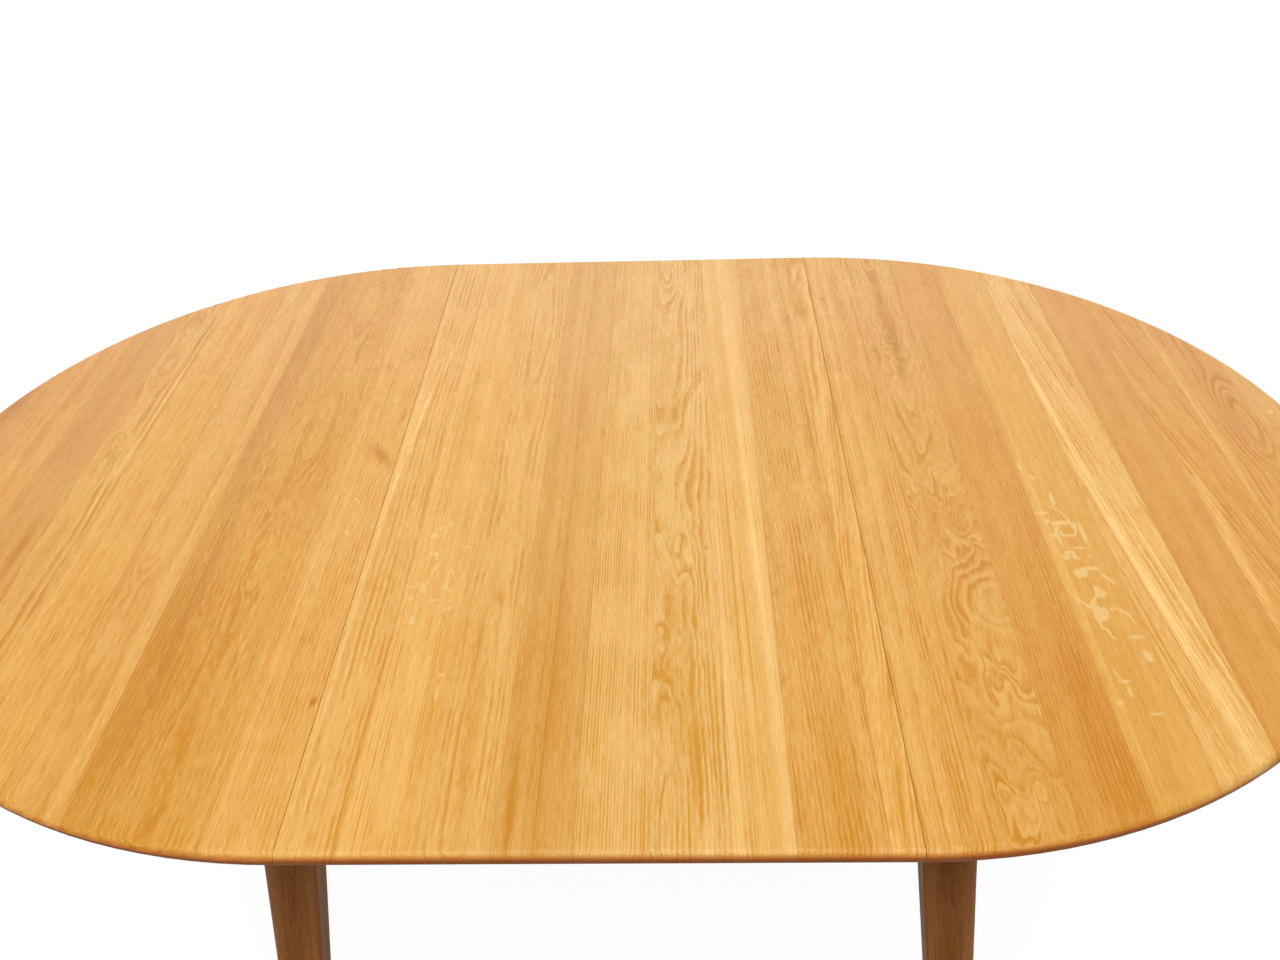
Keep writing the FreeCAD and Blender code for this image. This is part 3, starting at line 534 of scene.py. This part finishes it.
LEAF_SPOTS = {
    "swell": [
        (72, 560, 46, 210, 0.0, -26), (54, -50, 70, 260, 0.0, 18),
        (72, -540, 40, 240, 0.0, -22), (-112, 330, 40, 240, 0.0, -9),
        (-105, -420, 40, 260, 0.0, -10),
    ],
    "ripple": [(66, -250, 50, 260, 0.0, 26)],
    "figure": [
        (-244, 0, 7, 900, 0.0, -0.34), (142, -150, 4, 420, -0.024, -0.18),
        (56, -240, 8, 60, 0.0, 0.22), (80, -250, 6, 40, 0.0, 0.22),
        (52, -340, 8, 60, 0.0, 0.24), (78, -420, 8, 90, 0.0, 0.20),
        (-70, -480, 7, 80, 0.0, 0.34), (-50, -360, 44, 300, 0.0, 0.20),
        (196, -440, 28, 160, 0.0, 0.22), (-120, -300, 14, 160, 0.0, 0.14),
        (74, 130, 4, 130, 0.26, 0.34), (84, 150, 4, 120, 0.27, 0.26), (61, 100, 5, 90, 0.24, 0.26),
        (118, -180, 2, 360, -0.015, 0.40), (128, -300, 2, 260, -0.02, 0.32),
        (72, -380, 40, 200, 0.0, 0.12), (-172, -400, 34, 220, 0.0, -0.12),
        (-235, 130, 3, 120, 0.043, -0.46), (-229, 140, 3, 120, 0.043, 0.26),
        (-242, -10, 3, 110, 0.04, -0.30), (-222, 250, 3, 90, 0.08, -0.26),
    ],
    "brown": [(-52, 60, 34, 330, 0.0, 0.12)],
    "knot": [
        (-48, 38, 4, 3, 0.0, 0.20), (93, -150, 3, 5, 0.0, 0.24), (48, 112, 7, 12, 0.0, 0.14),
    ],
    "fleck": [(-172, -190, 40, 190, 0.0, 0.9), (-152, -400, 24, 130, 0.0, 0.45)],
    "ray": [
        (-148, -144, 9, 4, 0.0, 0.6), (-176, -176, 5, 24, 0.3, 0.6), (-199, -206, 11, 4, 0.0, 0.6),
        (-170, -226, 14, 4, 0.0, 0.6), (-154, -238, 8, 5, 0.0, 0.6), (-149, -352, 4, 28, 0.0, 0.6),
        (-148, -328, 7, 5, 0.0, 0.6), (-158, -156, 8, 3, 0.0, 0.5), (-205, -262, 8, 4, 0.0, 0.5),
    ],
}
RIGHT_SPOTS = {
    "swell": [
        (352, -238, 92, 270, 0.0, 44), (699, 70, 44, 120, 0.0, -22),
        (352, -238, 40, 60, 0.0, 10),
    ],
    "ripple": [
        (338, -90, 60, 150, 0.0, 44), (338, -330, 60, 90, 0.0, 26), (345, -470, 60, 100, 0.0, 34),
        (338, 300, 50, 260, 0.0, 24),
    ],
    "figure": [
        (497, 120, 5, 380, -0.045, -0.42), (520, -250, 22, 300, -0.07, -0.22),
        (514, -230, 4, 330, -0.08, -0.34), (533, -200, 3, 280, -0.07, -0.28),
        (613, -150, 11, 200, 0.04, -0.46), (341, 330, 12, 220, 0.0, 0.26),
        (430, 350, 3, 260, -0.015, -0.34), (437, -220, 8, 340, 0.0, -0.24),
        (412, -430, 58, 240, 0.0, 0.22), (667, 100, 9, 330, 0.0, -0.32),
        (507, -220, 2, 300, -0.07, 0.42), (521, -200, 2, 260, -0.07, 0.36),
        (534, -280, 2, 220, -0.08, 0.34), (500, -320, 2, 200, -0.05, 0.30),
    ],
    "brown": [
        (343, 300, 16, 230, 0.0, 0.46), (698, 62, 20, 60, 0.0, 0.32), (345, -120, 40, 110, 0.0, 0.12),
    ],
    "knot": [(264, 388, 4, 9, 0.0, 0.22)],
    "fleck": [(460, -200, 46, 300, 0.0, 1.2), (740, 90, 22, 70, 0.0, 1.0)],
    "ray": [
        (455, -117, 16, 7, 0.0, 0.9), (472, -134, 5, 36, 0.03, 0.7), (446, -137, 4, 36, 0.0, 0.7),
        (461, -158, 17, 5, 0.0, 0.6), (453, -197, 12, 12, 0.0, 1.0), (466, -190, 14, 6, 0.0, 0.8),
        (476, -205, 5, 17, -0.5, 0.8), (456, -257, 12, 19, 0.25, 1.0), (479, -288, 13, 7, 0.0, 0.7),
        (481, -315, 7, 12, 0.0, 0.8), (440, -100, 15, 5, 0.0, 0.7), (456, -76, 5, 27, 0.1, 0.7),
        (436, -15, 4, 18, 0.0, 0.7), (445, -36, 6, 6, 0.0, 0.7), (450, -344, 15, 5, 0.0, 0.6),
        (440, -370, 8, 7, 0.0, 0.6), (452, -357, 4, 18, 0.0, 0.6), (466, -383, 14, 4, 0.0, 0.6),
    ],
}
# The seams of each top that get painted shade, with place across and strength.
LEFT_SEAMS = [(-250, 0.12)]
LEAF_SEAMS = [(250, 0.2)]
RIGHT_SEAMS = [(250, 0.2)]
# What makes up the figure, with pores in the dark lines and elsewhere, and its limits.
TOP_BAND = 0.6
TOP_DRIFT = 0.3
LINE_PORES = 1.2
OTHER_PORES = 0.08
TOP_FIGURE_RANGE = (-0.6, 0.5)
# How much ray flecks, end grain and glued joints cover, and where they and the painted shade beside a
# seam fade.
FLECK_COVER = 0.65
FLECK_FADE = (0.0, 0.3)
RAY_FADE = (0.25, 0.7)
TOP_END_SHARE = 0.75
JOINT_SHARE = 0.22
JOINT_REACH = (0.1, 0.7)
PAINTED_SEAM_SHADE_REACH = (0.3, 1.1)
# What the streaks add to the roughness, and its base; the strength and depth in metres of the
# fine relief; and the oil's coat, full on faces that look up and thin elsewhere.
TOP_ROUGHNESS = (-0.25, 0.45)
TOP_RELIEF = (0.15, 0.0001)
TOP_COAT = (0.95, 0.05)
COAT_ROUGHNESS = 0.25
TOP_GLOSS = 0.12


def of_stave(tree, masks, values):
    """The stave's own three numbers; each mask is 1 beyond a stave's far edge."""
    found = values[0]
    for mask, value in zip(masks, values[1:]):
        found = mix_vector(tree, mask, found, value)
    return found


def stave_growth(tree, x, staves):
    """Tone of the stave at a place across, and its growth by the names in its row."""
    masks = [calc(tree, "GREATER_THAN", x, float(stave.edge)) for stave in staves[:-1]]
    tones = [tone(OAK_TONES[stave.tone], stave.shade)[:3] for stave in staves]
    growth = {}
    for names in GROWTH_NAMES:
        rows = [[getattr(stave, name) for name in names] for stave in staves]
        growth.update(zip(names, parts_of(tree, of_stave(tree, masks, rows))))
    return of_stave(tree, masks, tones), growth


def joint_lines(tree, x, staves):
    """A hairline at each glued joint between two staves."""
    nearest = 100.0
    for stave, neighbour in zip(staves, staves[1:]):
        if stave.seed == neighbour.seed:
            continue
        gap = calc(tree, "ABSOLUTE", calc(tree, "SUBTRACT", x, float(stave.edge)))
        nearest = calc(tree, "MINIMUM", gap, nearest)
    return ramp(tree, nearest, *JOINT_REACH, 1.0, 0.0)


def painted_seam_shade(tree, x, seams):
    """Painted shade in the seam beside another top, from its place and strength."""
    total = 0.0
    for edge, strength in seams:
        gap = calc(tree, "ABSOLUTE", calc(tree, "SUBTRACT", x, float(edge)))
        total = weighed(tree, total, (ramp(tree, gap, *PAINTED_SEAM_SHADE_REACH, 1.0, 0.0), strength))
    return total


def board_edges(staves, across):
    """Near and far edge of the board that lies at a place across."""
    near = -BEYOND
    for stave, neighbour in zip(staves, staves[1:]):
        if stave.seed == neighbour.seed:
            continue
        if across < stave.edge:
            return near, float(stave.edge)
        near = float(stave.edge)
    return near, BEYOND


def spread_of(tree, place, torn, spots, staves):
    """All spots of a kind together, each with its strength and kept to its own board."""
    total = 0.0
    for across, along, half_width, half_length, slant, strength in spots:
        near, far = board_edges(staves, across)
        patch = use(
            tree, PATCH, Place=place, Torn=torn, Across=float(across), Along=float(along),
            Half_Width=float(half_width), Half_Length=float(half_length), Slant=float(slant),
            Near_Edge=near, Far_Edge=far,
        )["Patch"]
        total = weighed(tree, total, (patch, float(strength)))
    return total


def top_spots(tree, place, torn, spots, staves):
    """The spots of every kind; those that only move the rings keep a smooth outline."""
    spread = {}
    for kind in spots:
        ragged = 0.0 if kind in ("swell", "ripple") else torn
        spread[kind] = spread_of(tree, place, ragged, spots[kind], staves)
    return spread


def top_wood(tree, place, fold, growth, spread):
    """Year rings and fibres of the staves, leaned, swollen and folded."""
    swell = calc(tree, "MULTIPLY_ADD", fold, spread["ripple"], spread["swell"])
    lean = calc(tree, "MULTIPLY", parts_of(tree, place)[1], growth["lean"])
    leaning = reckon(tree, "SUBTRACT", place, join(tree, lean, 0.0, 0.0))
    rings = use(
        tree, RINGS, Place=leaning, Pith=growth["pith"], Depth=growth["depth"],
        Taper=growth["taper"], Ring=growth["ring"], Wander=growth["wander"], Swell=swell,
        Seed=growth["seed"],
    )
    return rings, use(tree, FIBRES, Place=leaning, Seed=growth["seed"])


def top_figure(tree, growth, spread, rings, fibres, streak):
    """How much the figure darkens the wood, or lightens it below 0."""
    lines = calc(tree, "MULTIPLY", rings["Line"], growth["line"])
    in_pores = calc(tree, "MULTIPLY_ADD", lines, LINE_PORES, OTHER_PORES)
    pores = calc(tree, "MULTIPLY", fibres["Pore"], in_pores)
    figure = weighed(
        tree, spread["figure"], (streak, -1.0), (lines, 1.0), (rings["Band"], TOP_BAND),
        (fibres["Drift"], TOP_DRIFT), (pores, 1.0),
    )
    return kept_within(tree, figure, *TOP_FIGURE_RANGE)


def fleck_cover(tree, place, seed, spread):
    """Where the ray flecks show."""
    fleck = use(tree, FLECKS, Place=place, Seed=seed, Amount=spread["fleck"])["Fleck"]
    cover = ramp(tree, spread["fleck"], *FLECK_FADE, 0.0, FLECK_COVER)
    fleck = calc(tree, "MULTIPLY", fleck, cover)
    if "ray" in spread:
        rays_shown = ramp(tree, spread["ray"], *RAY_FADE, 0.0, FLECK_COVER)
        fleck = calc(tree, "MAXIMUM", fleck, rays_shown)
    return fleck


def oak_top(name, staves, spots, seams):
    """Oiled oak top, glued up from staves that run along Y."""
    material, tree, shader = new_material(name)
    place, facing = grain_place(tree, "y")
    place = reckon(tree, "SUBTRACT", place, (0.0, 0.0, TOP_SURFACE))
    x = parts_of(tree, place)[0]
    ground, growth = stave_growth(tree, x, staves)
    uneven = use(tree, UNEVEN, Place=place)
    spread = top_spots(tree, place, uneven["Torn"], spots, staves)
    rings, fibres = top_wood(tree, place, uneven["Fold"], growth, spread)
    streak = calc(tree, "MULTIPLY", fibres["Streak"], growth["streak"])
    figure = top_figure(tree, growth, spread, rings, fibres, streak)
    colour = deepen(tree, ground, figure, FIGURE_STEP)
    colour = deepen(tree, colour, spread["brown"], BROWN_STEP)
    colour = deepen(tree, colour, spread["knot"], KNOT_STEP)
    fleck = fleck_cover(tree, place, growth["seed"], spread)
    colour = mix_colour(tree, fleck, colour, tone(FLECK_CREAM))
    ends = use(tree, ENDS, Place=place, Facing=facing)
    colour = with_ends(tree, colour, ends, dotted_end(tree, ends), TOP_END_SHARE)
    # Painted shade: faces that look sideways or down, the rim and the underside, are darkened.
    colour = deepen(tree, colour, ends["Painted rim shade"], PAINTED_RIM_SHADE_STEP)
    joint = joint_lines(tree, x, staves)
    joint_share = calc(tree, "MULTIPLY", joint, JOINT_SHARE)
    colour = mix_colour(tree, joint_share, colour, tone(GRAIN_BROWN))
    # Painted shade in the seam beside the next top.
    colour = deepen(tree, colour, painted_seam_shade(tree, x, seams), PAINTED_SEAM_SHADE_STEP)
    rough = calc(tree, "MULTIPLY_ADD", streak, *TOP_ROUGHNESS)
    height = calc(tree, "MULTIPLY_ADD", fibres["Pore"], -1.0, calc(tree, "MULTIPLY", joint, -1.0))
    surface(tree, shader, colour, rough, height, TOP_RELIEF)
    feed(tree, calc(tree, "MULTIPLY_ADD", ends["Up"], *TOP_COAT), shader.inputs["Coat Weight"])
    shader.inputs["Coat Roughness"].default_value = COAT_ROUGHNESS
    shader.inputs["Specular IOR Level"].default_value = TOP_GLOSS
    return material


# ---- other finishes ---------------------------------------------------------
# Where the heart of the log lies in mm: from the table's two middle planes for a leg, and
# from one of them and from the floor for an apron. A leg's heart leans as the leg does.
LEG_HEART = (375.0, 375.0)
LEG_LEAN = -0.0954
APRON_HEART = (300.0, 640.0)
APRON_LEAN = 0.0
# Width of a year ring in mm and strength of its line.
LEG_YEARS = (4.5, 0.34)
APRON_YEARS = (4.0, 0.3)
# What makes up the figure of legs and aprons, and its limits.
BOARD_BAND = 0.6
BOARD_DRIFT = 0.8
BOARD_PORES = 0.16
BOARD_FIGURE_RANGE = (-0.8, 0.75)
# The seed of a board, and what lying past a middle plane of the table adds to it.
FIRST_SEED = 0.3
ACROSS_SEED = 0.37
DEPTH_SEED = 0.11
# What makes up the figure of beech, and size and limits of its short dark flecks.
BEECH_LINES = 0.22
BEECH_STREAKS = -0.4
BEECH_DRIFT = 0.3
BEECH_FLECKS = 0.3
BEECH_FLECK_SIZE = (0.55, 3.2, 0.55)
BEECH_FLECK_RANGE = (0.62, 0.7)
# Size of the clouds in steel and of the texture and scuffs of plastic, in mm.
STEEL_CLOUDS = (2.5, 2.5, 2.5)
PLASTIC_TEXTURE = (0.5, 0.5, 0.5)
PLASTIC_SCUFFS = (5.0, 5.0, 5.0)
SCUFF_RANGE = (0.5, 0.7)
# How much of the end grain's tone shows.
BOARD_END_SHARE = 0.6
BEECH_END_SHARE = 0.5
# What the pattern adds to the roughness, and its base; strength and depth of the relief.
BOARD_ROUGHNESS = (-0.2, 0.6)
BEECH_ROUGHNESS = (0.15, 0.5)
STEEL_ROUGHNESS = (0.25, 0.22)
PLASTIC_ROUGHNESS = (0.2, 0.45)
BOARD_RELIEF = (0.3, 0.00015)
BEECH_RELIEF = (0.2, 0.0002)
PLASTIC_RELIEF = (0.3, 0.0002)
BOARD_GLOSS = 0.14
BEECH_GLOSS = 0.3


def oak_board(name, along, ground, heart, lean, years):
    """One oak board with its grain along an axis, about a log whose heart leans along it."""
    material, tree, shader = new_material(name)
    place, facing = grain_place(tree, along)
    x, y, z = parts_of(tree, place)
    mirrored = join(tree, calc(tree, "ABSOLUTE", x), y, calc(tree, "ABSOLUTE", z))
    seed = weighed(
        tree, FIRST_SEED, (calc(tree, "GREATER_THAN", x, 0.0), ACROSS_SEED),
        (calc(tree, "GREATER_THAN", z, 0.0), DEPTH_SEED),
    )
    drift = calc(tree, "MULTIPLY", y, lean)
    centred = reckon(tree, "SUBTRACT", mirrored, join(tree, drift, 0.0, drift))
    place = reckon(tree, "SUBTRACT", centred, (heart[0], 0.0, heart[1]))
    rings = use(
        tree, RINGS, Place=place, Pith=-3.0, Depth=0.0, Ring=years[0], Wander=6.0, Seed=seed,
    )
    fibres = use(tree, FIBRES, Place=place, Seed=seed)
    heartwood = use(tree, HEARTWOOD, Place=place)["Heartwood"]
    figure = weighed(
        tree, heartwood, (rings["Line"], years[1]),
        (rings["Band"], BOARD_BAND), (fibres["Streak"], -1.0), (fibres["Drift"], BOARD_DRIFT),
        (fibres["Pore"], BOARD_PORES),
    )
    figure = kept_within(tree, figure, *BOARD_FIGURE_RANGE)
    colour = deepen(tree, tone(ground), figure, BOARD_STEP)
    ends = use(tree, ENDS, Place=place, Facing=facing)
    colour = with_ends(tree, colour, ends, dotted_end(tree, ends), BOARD_END_SHARE)
    rough = calc(tree, "MULTIPLY_ADD", fibres["Streak"], *BOARD_ROUGHNESS)
    surface(tree, shader, colour, rough, fibres["Pore"], BOARD_RELIEF, invert=True)
    shader.inputs["Specular IOR Level"].default_value = BOARD_GLOSS
    return material


def beech_board(name, along):
    """Plain beech with its short dark flecks, grain along an axis."""
    material, tree, shader = new_material(name)
    place, facing = grain_place(tree, along)
    rings = use(tree, RINGS, Place=place, Pith=90.0, Depth=60.0, Ring=4.0, Wander=8.0, Seed=0.3)
    fibres = use(tree, FIBRES, Place=place, Seed=0.6)
    fleck = cloud(tree, place, BEECH_FLECK_SIZE, 1.0).outputs[0]
    fleck = ramp(tree, fleck, *BEECH_FLECK_RANGE, 0.0, 1.0)
    figure = weighed(
        tree, 0.0, (rings["Line"], BEECH_LINES), (fibres["Streak"], BEECH_STREAKS),
        (fibres["Drift"], BEECH_DRIFT), (fleck, BEECH_FLECKS),
    )
    colour = deepen(tree, tone(BEECH), figure, BEECH_STEP)
    ends = use(tree, ENDS, Place=place, Facing=facing)
    colour = with_ends(tree, colour, ends, tone(BEECH_END), BEECH_END_SHARE)
    rough = calc(tree, "MULTIPLY_ADD", fleck, *BEECH_ROUGHNESS)
    surface(tree, shader, colour, rough, fibres["Streak"], BEECH_RELIEF)
    shader.inputs["Specular IOR Level"].default_value = BEECH_GLOSS
    return material


def plated_steel():
    """Zinc-plated steel: a cloudy grey with fine wear."""
    material, tree, shader = new_material("Zinc-plated steel")
    place = grain_place(tree, "y")[0]
    clouds = cloud(tree, place, STEEL_CLOUDS, 3.0, 0.6).outputs[0]
    colour = mix_colour(tree, clouds, tone(STEEL_DULL), tone(STEEL_BRIGHT))
    feed(tree, colour, shader.inputs["Base Color"])
    rough = calc(tree, "MULTIPLY_ADD", clouds, *STEEL_ROUGHNESS)
    feed(tree, rough, shader.inputs["Roughness"])
    shader.inputs["Metallic"].default_value = 1.0
    return material


def moulded_plastic():
    """Dark moulded plastic with scuffed patches."""
    material, tree, shader = new_material("Moulded plastic")
    place = grain_place(tree, "y")[0]
    texture = cloud(tree, place, PLASTIC_TEXTURE, 2.0).outputs[0]
    scuff = cloud(tree, place, PLASTIC_SCUFFS, 4.0, 0.7).outputs[0]
    scuff = ramp(tree, scuff, *SCUFF_RANGE, 0.0, 1.0)
    colour = mix_colour(tree, scuff, tone(PLASTIC_DARK), tone(PLASTIC_SCUFFED))
    rough = calc(tree, "MULTIPLY_ADD", scuff, *PLASTIC_ROUGHNESS)
    surface(tree, shader, colour, rough, texture, PLASTIC_RELIEF)
    return material


# ---- which finish each piece gets -------------------------------------------
STEEL_WORDS = ("screw", "bolt", "pin", "hook", "stud", "pivot")
STEEL = plated_steel()
LONG_APRON = oak_board("Oak long apron", "x", APRON_OAK, APRON_HEART, APRON_LEAN, APRON_YEARS)
END_APRON = oak_board("Oak end apron", "y", APRON_OAK, APRON_HEART, APRON_LEAN, APRON_YEARS)
BEECH_LENGTHWAYS = beech_board("Beech lengthways", "x")
BEECH_CROSSWAYS = beech_board("Beech crossways", "y")
# By how the pieces' names begin; the longest match counts.
FINISHES = {
    "half_top_left": oak_top("Oak left half", LEFT_STAVES, LEFT_SPOTS, LEFT_SEAMS),
    "leaf": oak_top("Oak leaf", LEAF_STAVES, LEAF_SPOTS, LEAF_SEAMS),
    "half_top_right": oak_top("Oak right half", RIGHT_STAVES, RIGHT_SPOTS, RIGHT_SEAMS),
    "leg_": oak_board("Oak leg", "z", LEG_OAK, LEG_HEART, LEG_LEAN, LEG_YEARS),
    "apron_front": LONG_APRON,
    "apron_back": LONG_APRON,
    "apron_left": END_APRON,
    "apron_right": END_APRON,
    "centre_bearer": BEECH_CROSSWAYS,
    "runner_tie_": BEECH_CROSSWAYS,
    "runner_": BEECH_LENGTHWAYS,
    "apron_dowels": BEECH_LENGTHWAYS,
    "corner_block_": BEECH_LENGTHWAYS,
    "guide_rail_": BEECH_LENGTHWAYS,
    "seam_dowels_": BEECH_LENGTHWAYS,
    "leaf_batten_": BEECH_LENGTHWAYS,
    "glide_": moulded_plastic(),
}

for name, node in frame["nodes"].items():
    if any(word in name for word in STEEL_WORDS):
        finish = STEEL
    else:
        matches = [beginning for beginning in FINISHES if name.startswith(beginning)]
        finish = FINISHES[max(matches, key=len)]
    node.data.materials.clear()
    node.data.materials.append(finish)


# ---- floor, light and camera ------------------------------------------------
FLOOR_REACH = 30.0
# The floor throws back little light, and looks white where it is seen.
FLOOR_BOUNCE = 0.18
FLOOR_SHADED = 0.1
FLOOR_GLOW = 0.95
# The surroundings give the table a little light. In gloss they are bright low down and dim
# high up: the heights between which that changes, and the strength at both.
SURROUNDING_LIGHT = 0.17
MIRRORED_RANGE = (0.38, 0.85, 1.0, 0.12)
# Tilt, width and the eye's turns are in degrees, the lens and the sensor in mm.
LAMP_TILT = 14.0
LAMP_WIDTH = 60.0
LAMP_STRENGTH = 2.735
EYE_PLACE = (0.0678, -1.1306, 1.5167)
EYE_PITCH = 35.2
EYE_YAW = 2.26
EYE_ROLL = -2.14
LENS = 34.9
SENSOR_WIDTH = 36.0
FARTHEST = 200.0


def rays(tree, *kinds):
    """1 for these kinds of ray."""
    path = add(tree, "LightPath").outputs
    found = path[kinds[0]]
    for kind in kinds[1:]:
        found = calc(tree, "MAXIMUM", found, path[kind])
    return found


def grey(value):
    """A grey for a colour socket."""
    return (value, value, value, 1.0)


def floor_material():
    """White to the eye and in gloss, with the table's shadow on it."""
    material = bpy.data.materials.new("Studio floor")
    material.use_nodes = True
    tree = material.node_tree
    tree.nodes.clear()
    seen = rays(tree, "Is Camera Ray", "Is Glossy Ray", "Is Transmission Ray")
    bounce = add(tree, "BsdfDiffuse", {"Color": grey(FLOOR_BOUNCE)})
    shaded = add(tree, "BsdfDiffuse", {"Color": grey(FLOOR_SHADED)})
    glow = add(tree, "Emission", {"Color": grey(FLOOR_GLOW)})
    white = add(tree, "AddShader", {0: shaded.outputs[0], 1: glow.outputs[0]})
    mixed = add(tree, "MixShader", {0: seen, 1: bounce.outputs[0], 2: white.outputs[0]})
    out = add(tree, "OutputMaterial")
    tree.links.new(mixed.outputs[0], out.inputs["Surface"])
    return material


def floor():
    """Plain pale floor under the table."""
    mesh = bpy.data.meshes.new("studio_floor")
    signs = [(-1, -1), (1, -1), (1, 1), (-1, 1)]
    corners = [(x * FLOOR_REACH, y * FLOOR_REACH, 0.0) for x, y in signs]
    mesh.from_pydata(corners, [], [(0, 1, 2, 3)])
    obj = bpy.data.objects.new("studio_floor", mesh)
    bpy.context.scene.collection.objects.link(obj)
    mesh.materials.append(floor_material())


def world():
    """White surroundings, with little light of their own and dimmer in gloss high up."""
    sky = bpy.data.worlds.new("Studio")
    bpy.context.scene.world = sky
    sky.use_nodes = True
    tree = sky.node_tree
    tree.nodes.clear()
    height = parts_of(tree, add(tree, "TexCoord").outputs["Generated"])[2]
    mirrored = ramp(tree, height, *MIRRORED_RANGE)
    glossy = rays(tree, "Is Glossy Ray")
    seen = rays(tree, "Is Camera Ray", "Is Transmission Ray")
    strength = calc(tree, "MULTIPLY_ADD", glossy, mirrored, seen)
    strength = calc(tree, "MAXIMUM", strength, SURROUNDING_LIGHT)
    ground = add(tree, "Background", {"Color": grey(1.0), "Strength": strength})
    out = add(tree, "OutputWorld")
    tree.links.new(ground.outputs[0], out.inputs["Surface"])


def overhead_lamp():
    """Broad even light from overhead and a little to the front."""
    data = bpy.data.lights.new("Overhead light", "SUN")
    data.energy = LAMP_STRENGTH
    data.angle = math.radians(LAMP_WIDTH)
    lamp = bpy.data.objects.new("Overhead light", data)
    lamp.rotation_euler = (math.radians(LAMP_TILT), 0.0, 0.0)
    lamp.visible_glossy = False
    bpy.context.scene.collection.objects.link(lamp)


def camera():
    """Stands in front of the table at eye height, looking down on it."""
    data = bpy.data.cameras.new("Camera")
    data.lens = LENS
    data.sensor_width = SENSOR_WIDTH
    data.clip_end = FARTHEST
    eye = bpy.data.objects.new("Camera", data)
    turn = Matrix.Rotation(math.radians(EYE_YAW), 4, "Z")
    turn = turn @ Matrix.Rotation(math.radians(90.0 - EYE_PITCH), 4, "X")
    turn = turn @ Matrix.Rotation(math.radians(EYE_ROLL), 4, "Z")
    eye.matrix_world = Matrix.Translation(EYE_PLACE) @ turn
    bpy.context.scene.collection.objects.link(eye)
    bpy.context.scene.camera = eye


floor()
world()
overhead_lamp()
camera()
bpy.context.scene.view_settings.view_transform = "Standard"
